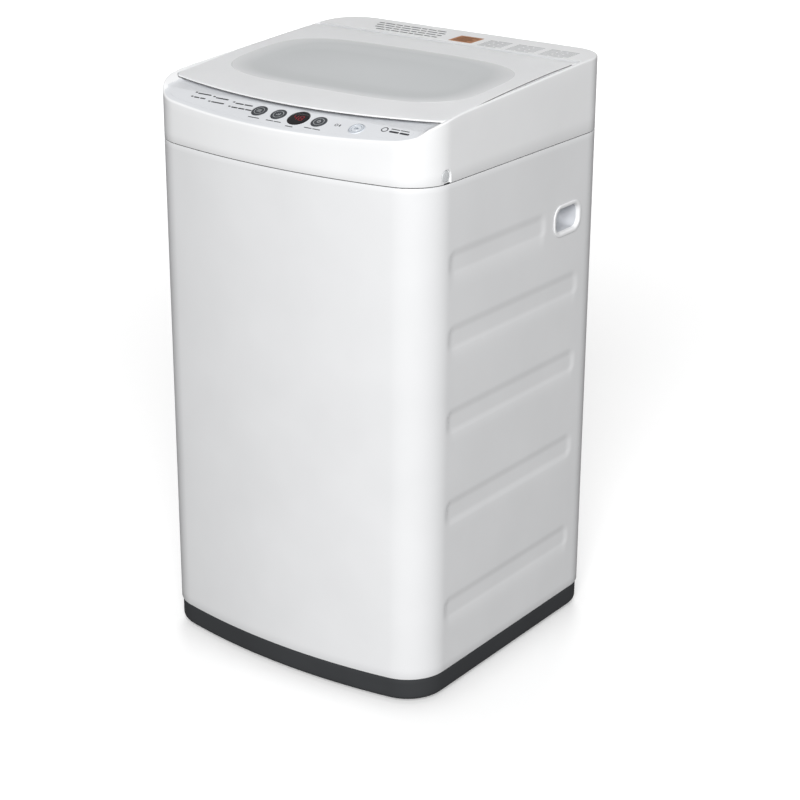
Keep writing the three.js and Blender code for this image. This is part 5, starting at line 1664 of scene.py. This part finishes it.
def capacitor():
    low, high = BASE_BOTTOM + 5.3, 78.0
    profile = [(0, low), (18.6, low), (20, low + 1.4), (20, high - 12), (19, high - 11),
               (20, high - 9), (20, high - 7.4), (18.2, high - 6.6), (18, high - 7.6),
               (0, high - 7.6)]
    tabs = [block(168 + x - 0.4, 168 + x + 0.4, 57, 63, high - 8, high) for x in (-7, 7)]
    profile = softened(profile, 0.5, closed=False, steps=2)
    obj = mesh_object("capacitor_skin", lathe(profile, 168, 60, 56, closed=False))
    boolean(obj, "UNION", *tabs)
    finished(obj, CAST, "cabinet", ["capacitor"], 30)


def control_board():
    """Circuit board under the panel with a relay row, chips and a connector."""
    board = block(-60, 140, -15, 12, -16.2, -14.6)
    piece("control_board_skin", placed(board, PANEL_FRAME), BOARD, "cabinet",
          ["control_board"])
    blocks = [slab(x - 7, x + 7, -8, 6, -22, -16.3, 1, 0.4) for x in (-50, 86, 130)]
    chips = [slab(x - 4, x + 4, -13, -9, -17.6, -16.3, 0.4, 0.2) for x in (-30, -16, 0, 14, 44, 62, 108)]
    can = [(0, -22), (2.6, -22), (3, -21.5), (3, -16.3), (0, -16.3)]
    cans = [lathe(can, x, 8, 16, closed=False) for x in (-36, -26, 72, 112)]
    piece("control_board_parts", placed(merged(*blocks, *chips, *cans), PANEL_FRAME), RUBBER, "cabinet",
          sharp=35)


def bottom_cover():
    """Vented floor plate with rounded corners and rows of slots."""
    low, half = BASE_BOTTOM + 5.3, 140.0
    obj = mesh_object("bottom_cover_skin", slab(-half, half, -half, half, low, low + 2, 24, 0.5))
    slots = [prism(rounded_rect(x - 5, x + 5, y - 32, y + 32, 4.9), low - 2, low + 4)
             for x in (-60, -30, 0, 30, 60) for y in (-36, 36)]
    boolean(obj, "DIFFERENCE", merged(*slots))
    finished(obj, BASE, "cabinet", ["bottom_cover"], 35)
    screws = [hex_bolt(x, y, low + 2, 3.4, 3.2) for x in (-132, 132) for y in (-112, 0, 112)]
    piece("bottom_cover_screws", merged(*screws), STEEL, "cabinet", sharp=35)


# ---------- stage, light and camera ----------
def stage_and_lights():
    floor_mesh = bpy.data.meshes.new("floor")
    size = 12.0
    corners = [(-size, -size, 0), (size, -size, 0), (size, size, 0), (-size, size, 0)]
    floor_mesh.from_pydata(corners, [], [(0, 1, 2, 3)])
    floor = bpy.data.objects.new("floor", floor_mesh)
    bpy.context.scene.collection.objects.link(floor)
    material, tree, shader = new_material("studio_floor", (0.93, 0.93, 0.93), 0.9)
    tint(tree, shader, noise(tree, 1.5), (0.925, 0.925, 0.925), (0.935, 0.935, 0.935))
    shader.inputs["Emission Color"].default_value = (1, 1, 1, 1)
    shader.inputs["Emission Strength"].default_value = 0.18
    floor_mesh.materials.append(material)
    floor.visible_diffuse = False
    floor.visible_glossy = False

    world = bpy.data.worlds.new("studio")
    world.use_nodes = True
    world.node_tree.nodes["Background"].inputs["Color"].default_value = (1, 1, 1, 1)
    world.node_tree.nodes["Background"].inputs["Strength"].default_value = 0.2
    bpy.context.scene.world = world

    def softbox(name, azimuth, elevation, distance, size, power):
        light = bpy.data.lights.new(name, "AREA")
        light.shape = "DISK"
        light.size = size
        light.energy = power
        lamp = bpy.data.objects.new(name, light)
        a, e = math.radians(azimuth), math.radians(elevation)
        direction = Vector((math.sin(a) * math.cos(e), -math.cos(a) * math.cos(e), math.sin(e)))
        lamp.location = Vector((0, 0, 0.45)) + direction * distance
        lamp.rotation_mode = "QUATERNION"
        lamp.rotation_quaternion = (-direction).to_track_quat("-Z", "Y")
        bpy.context.scene.collection.objects.link(lamp)
        return lamp

    softbox("key", 34, 27, 8.0, 4.5, 700)
    softbox("top", 0, 84, 5.0, 2.6, 26).visible_glossy = False
    softbox("fill", 95, 15, 6.0, 3.0, 13).visible_glossy = False
    softbox("back", 215, 20, 6.0, 3.4, 190).visible_glossy = False
    bpy.context.scene.view_settings.view_transform = "Standard"


CAMERA = dict(azimuth=36.39, elevation=21.44, roll=0.305, distance=2803.4, lens=90.64, sideways=27.39,
              height=323.46)


def camera():
    a, e, roll = (math.radians(CAMERA[k]) for k in ("azimuth", "elevation", "roll"))
    back = Vector((math.sin(a) * math.cos(e), -math.cos(a) * math.cos(e), math.sin(e)))
    right = Vector((math.cos(a), math.sin(a), 0))
    up = back.cross(right)
    tilted_right = math.cos(roll) * right + math.sin(roll) * up
    tilted_up = math.cos(roll) * up - math.sin(roll) * right
    aim = right * CAMERA["sideways"] + Vector((0, 0, CAMERA["height"]))
    data = bpy.data.cameras.new("camera")
    data.lens = CAMERA["lens"]
    data.sensor_width = 36.0
    data.clip_start, data.clip_end = 0.05, 60.0
    obj = bpy.data.objects.new("camera", data)
    rotation = Matrix((tilted_right, tilted_up, back)).transposed().to_4x4()
    obj.matrix_world = Matrix.Translation((aim + back * CAMERA["distance"]) * MM) @ rotation
    bpy.context.scene.collection.objects.link(obj)
    bpy.context.scene.camera = obj


def dress_cad_nodes():
    """Every CAD node that stays in view takes the procedural material of its slot."""
    by_slot = {"white_shell": PAINT, "panel_film": FILM, "lid_glazing": GLAZING, "base_grey": BASE,
               "foot_rubber": RUBBER, "button_grey": BUTTON, "display_black": GLASS,
               "inner_plastic": INNER, "basket_steel": BASKET, "bright_steel": STEEL,
               "cast_metal": CAST, "motor_metal": MOTOR, "board_green": BOARD, "hose_grey": HOSE}
    for entry in frame["record"]["subparts"]:
        mesh = frame["nodes"][entry["node"]].data
        mesh.materials.clear()
        mesh.materials.append(by_slot[entry["material_slot"]])
        mesh.shade_smooth()
        mesh.set_sharp_from_angle(angle=math.radians(32))


camera()
stage_and_lights()
dress_cad_nodes()
cabinet_shell()
for place, side in SIDES.items():
    handle_cup(place, side)
rear_panel()
rear_screws()
base_plinth()
feet()
top_cover()
seam_shade_strip()
control_fascia()
buttons()
display()
panel_marks()
deck_marks()
screw_caps()
lid_frame()
lid_window()
lid_gap_shade_bead()
spin_basket()
balance_ring()
pulsator()
pulsator_screw()
lint_filter()
outer_tub()
tub_ring()
suspension()
shaft_seal()
support_plate()
gear_case()
wash_shaft()
pulleys()
drive_belt()
motor()
drain_parts()
drain_hose()
inlet_valve()
inlet_spout()
drain_outlet()
cord_gland()
pressure_sensor()
capacitor()
control_board()
bottom_cover()
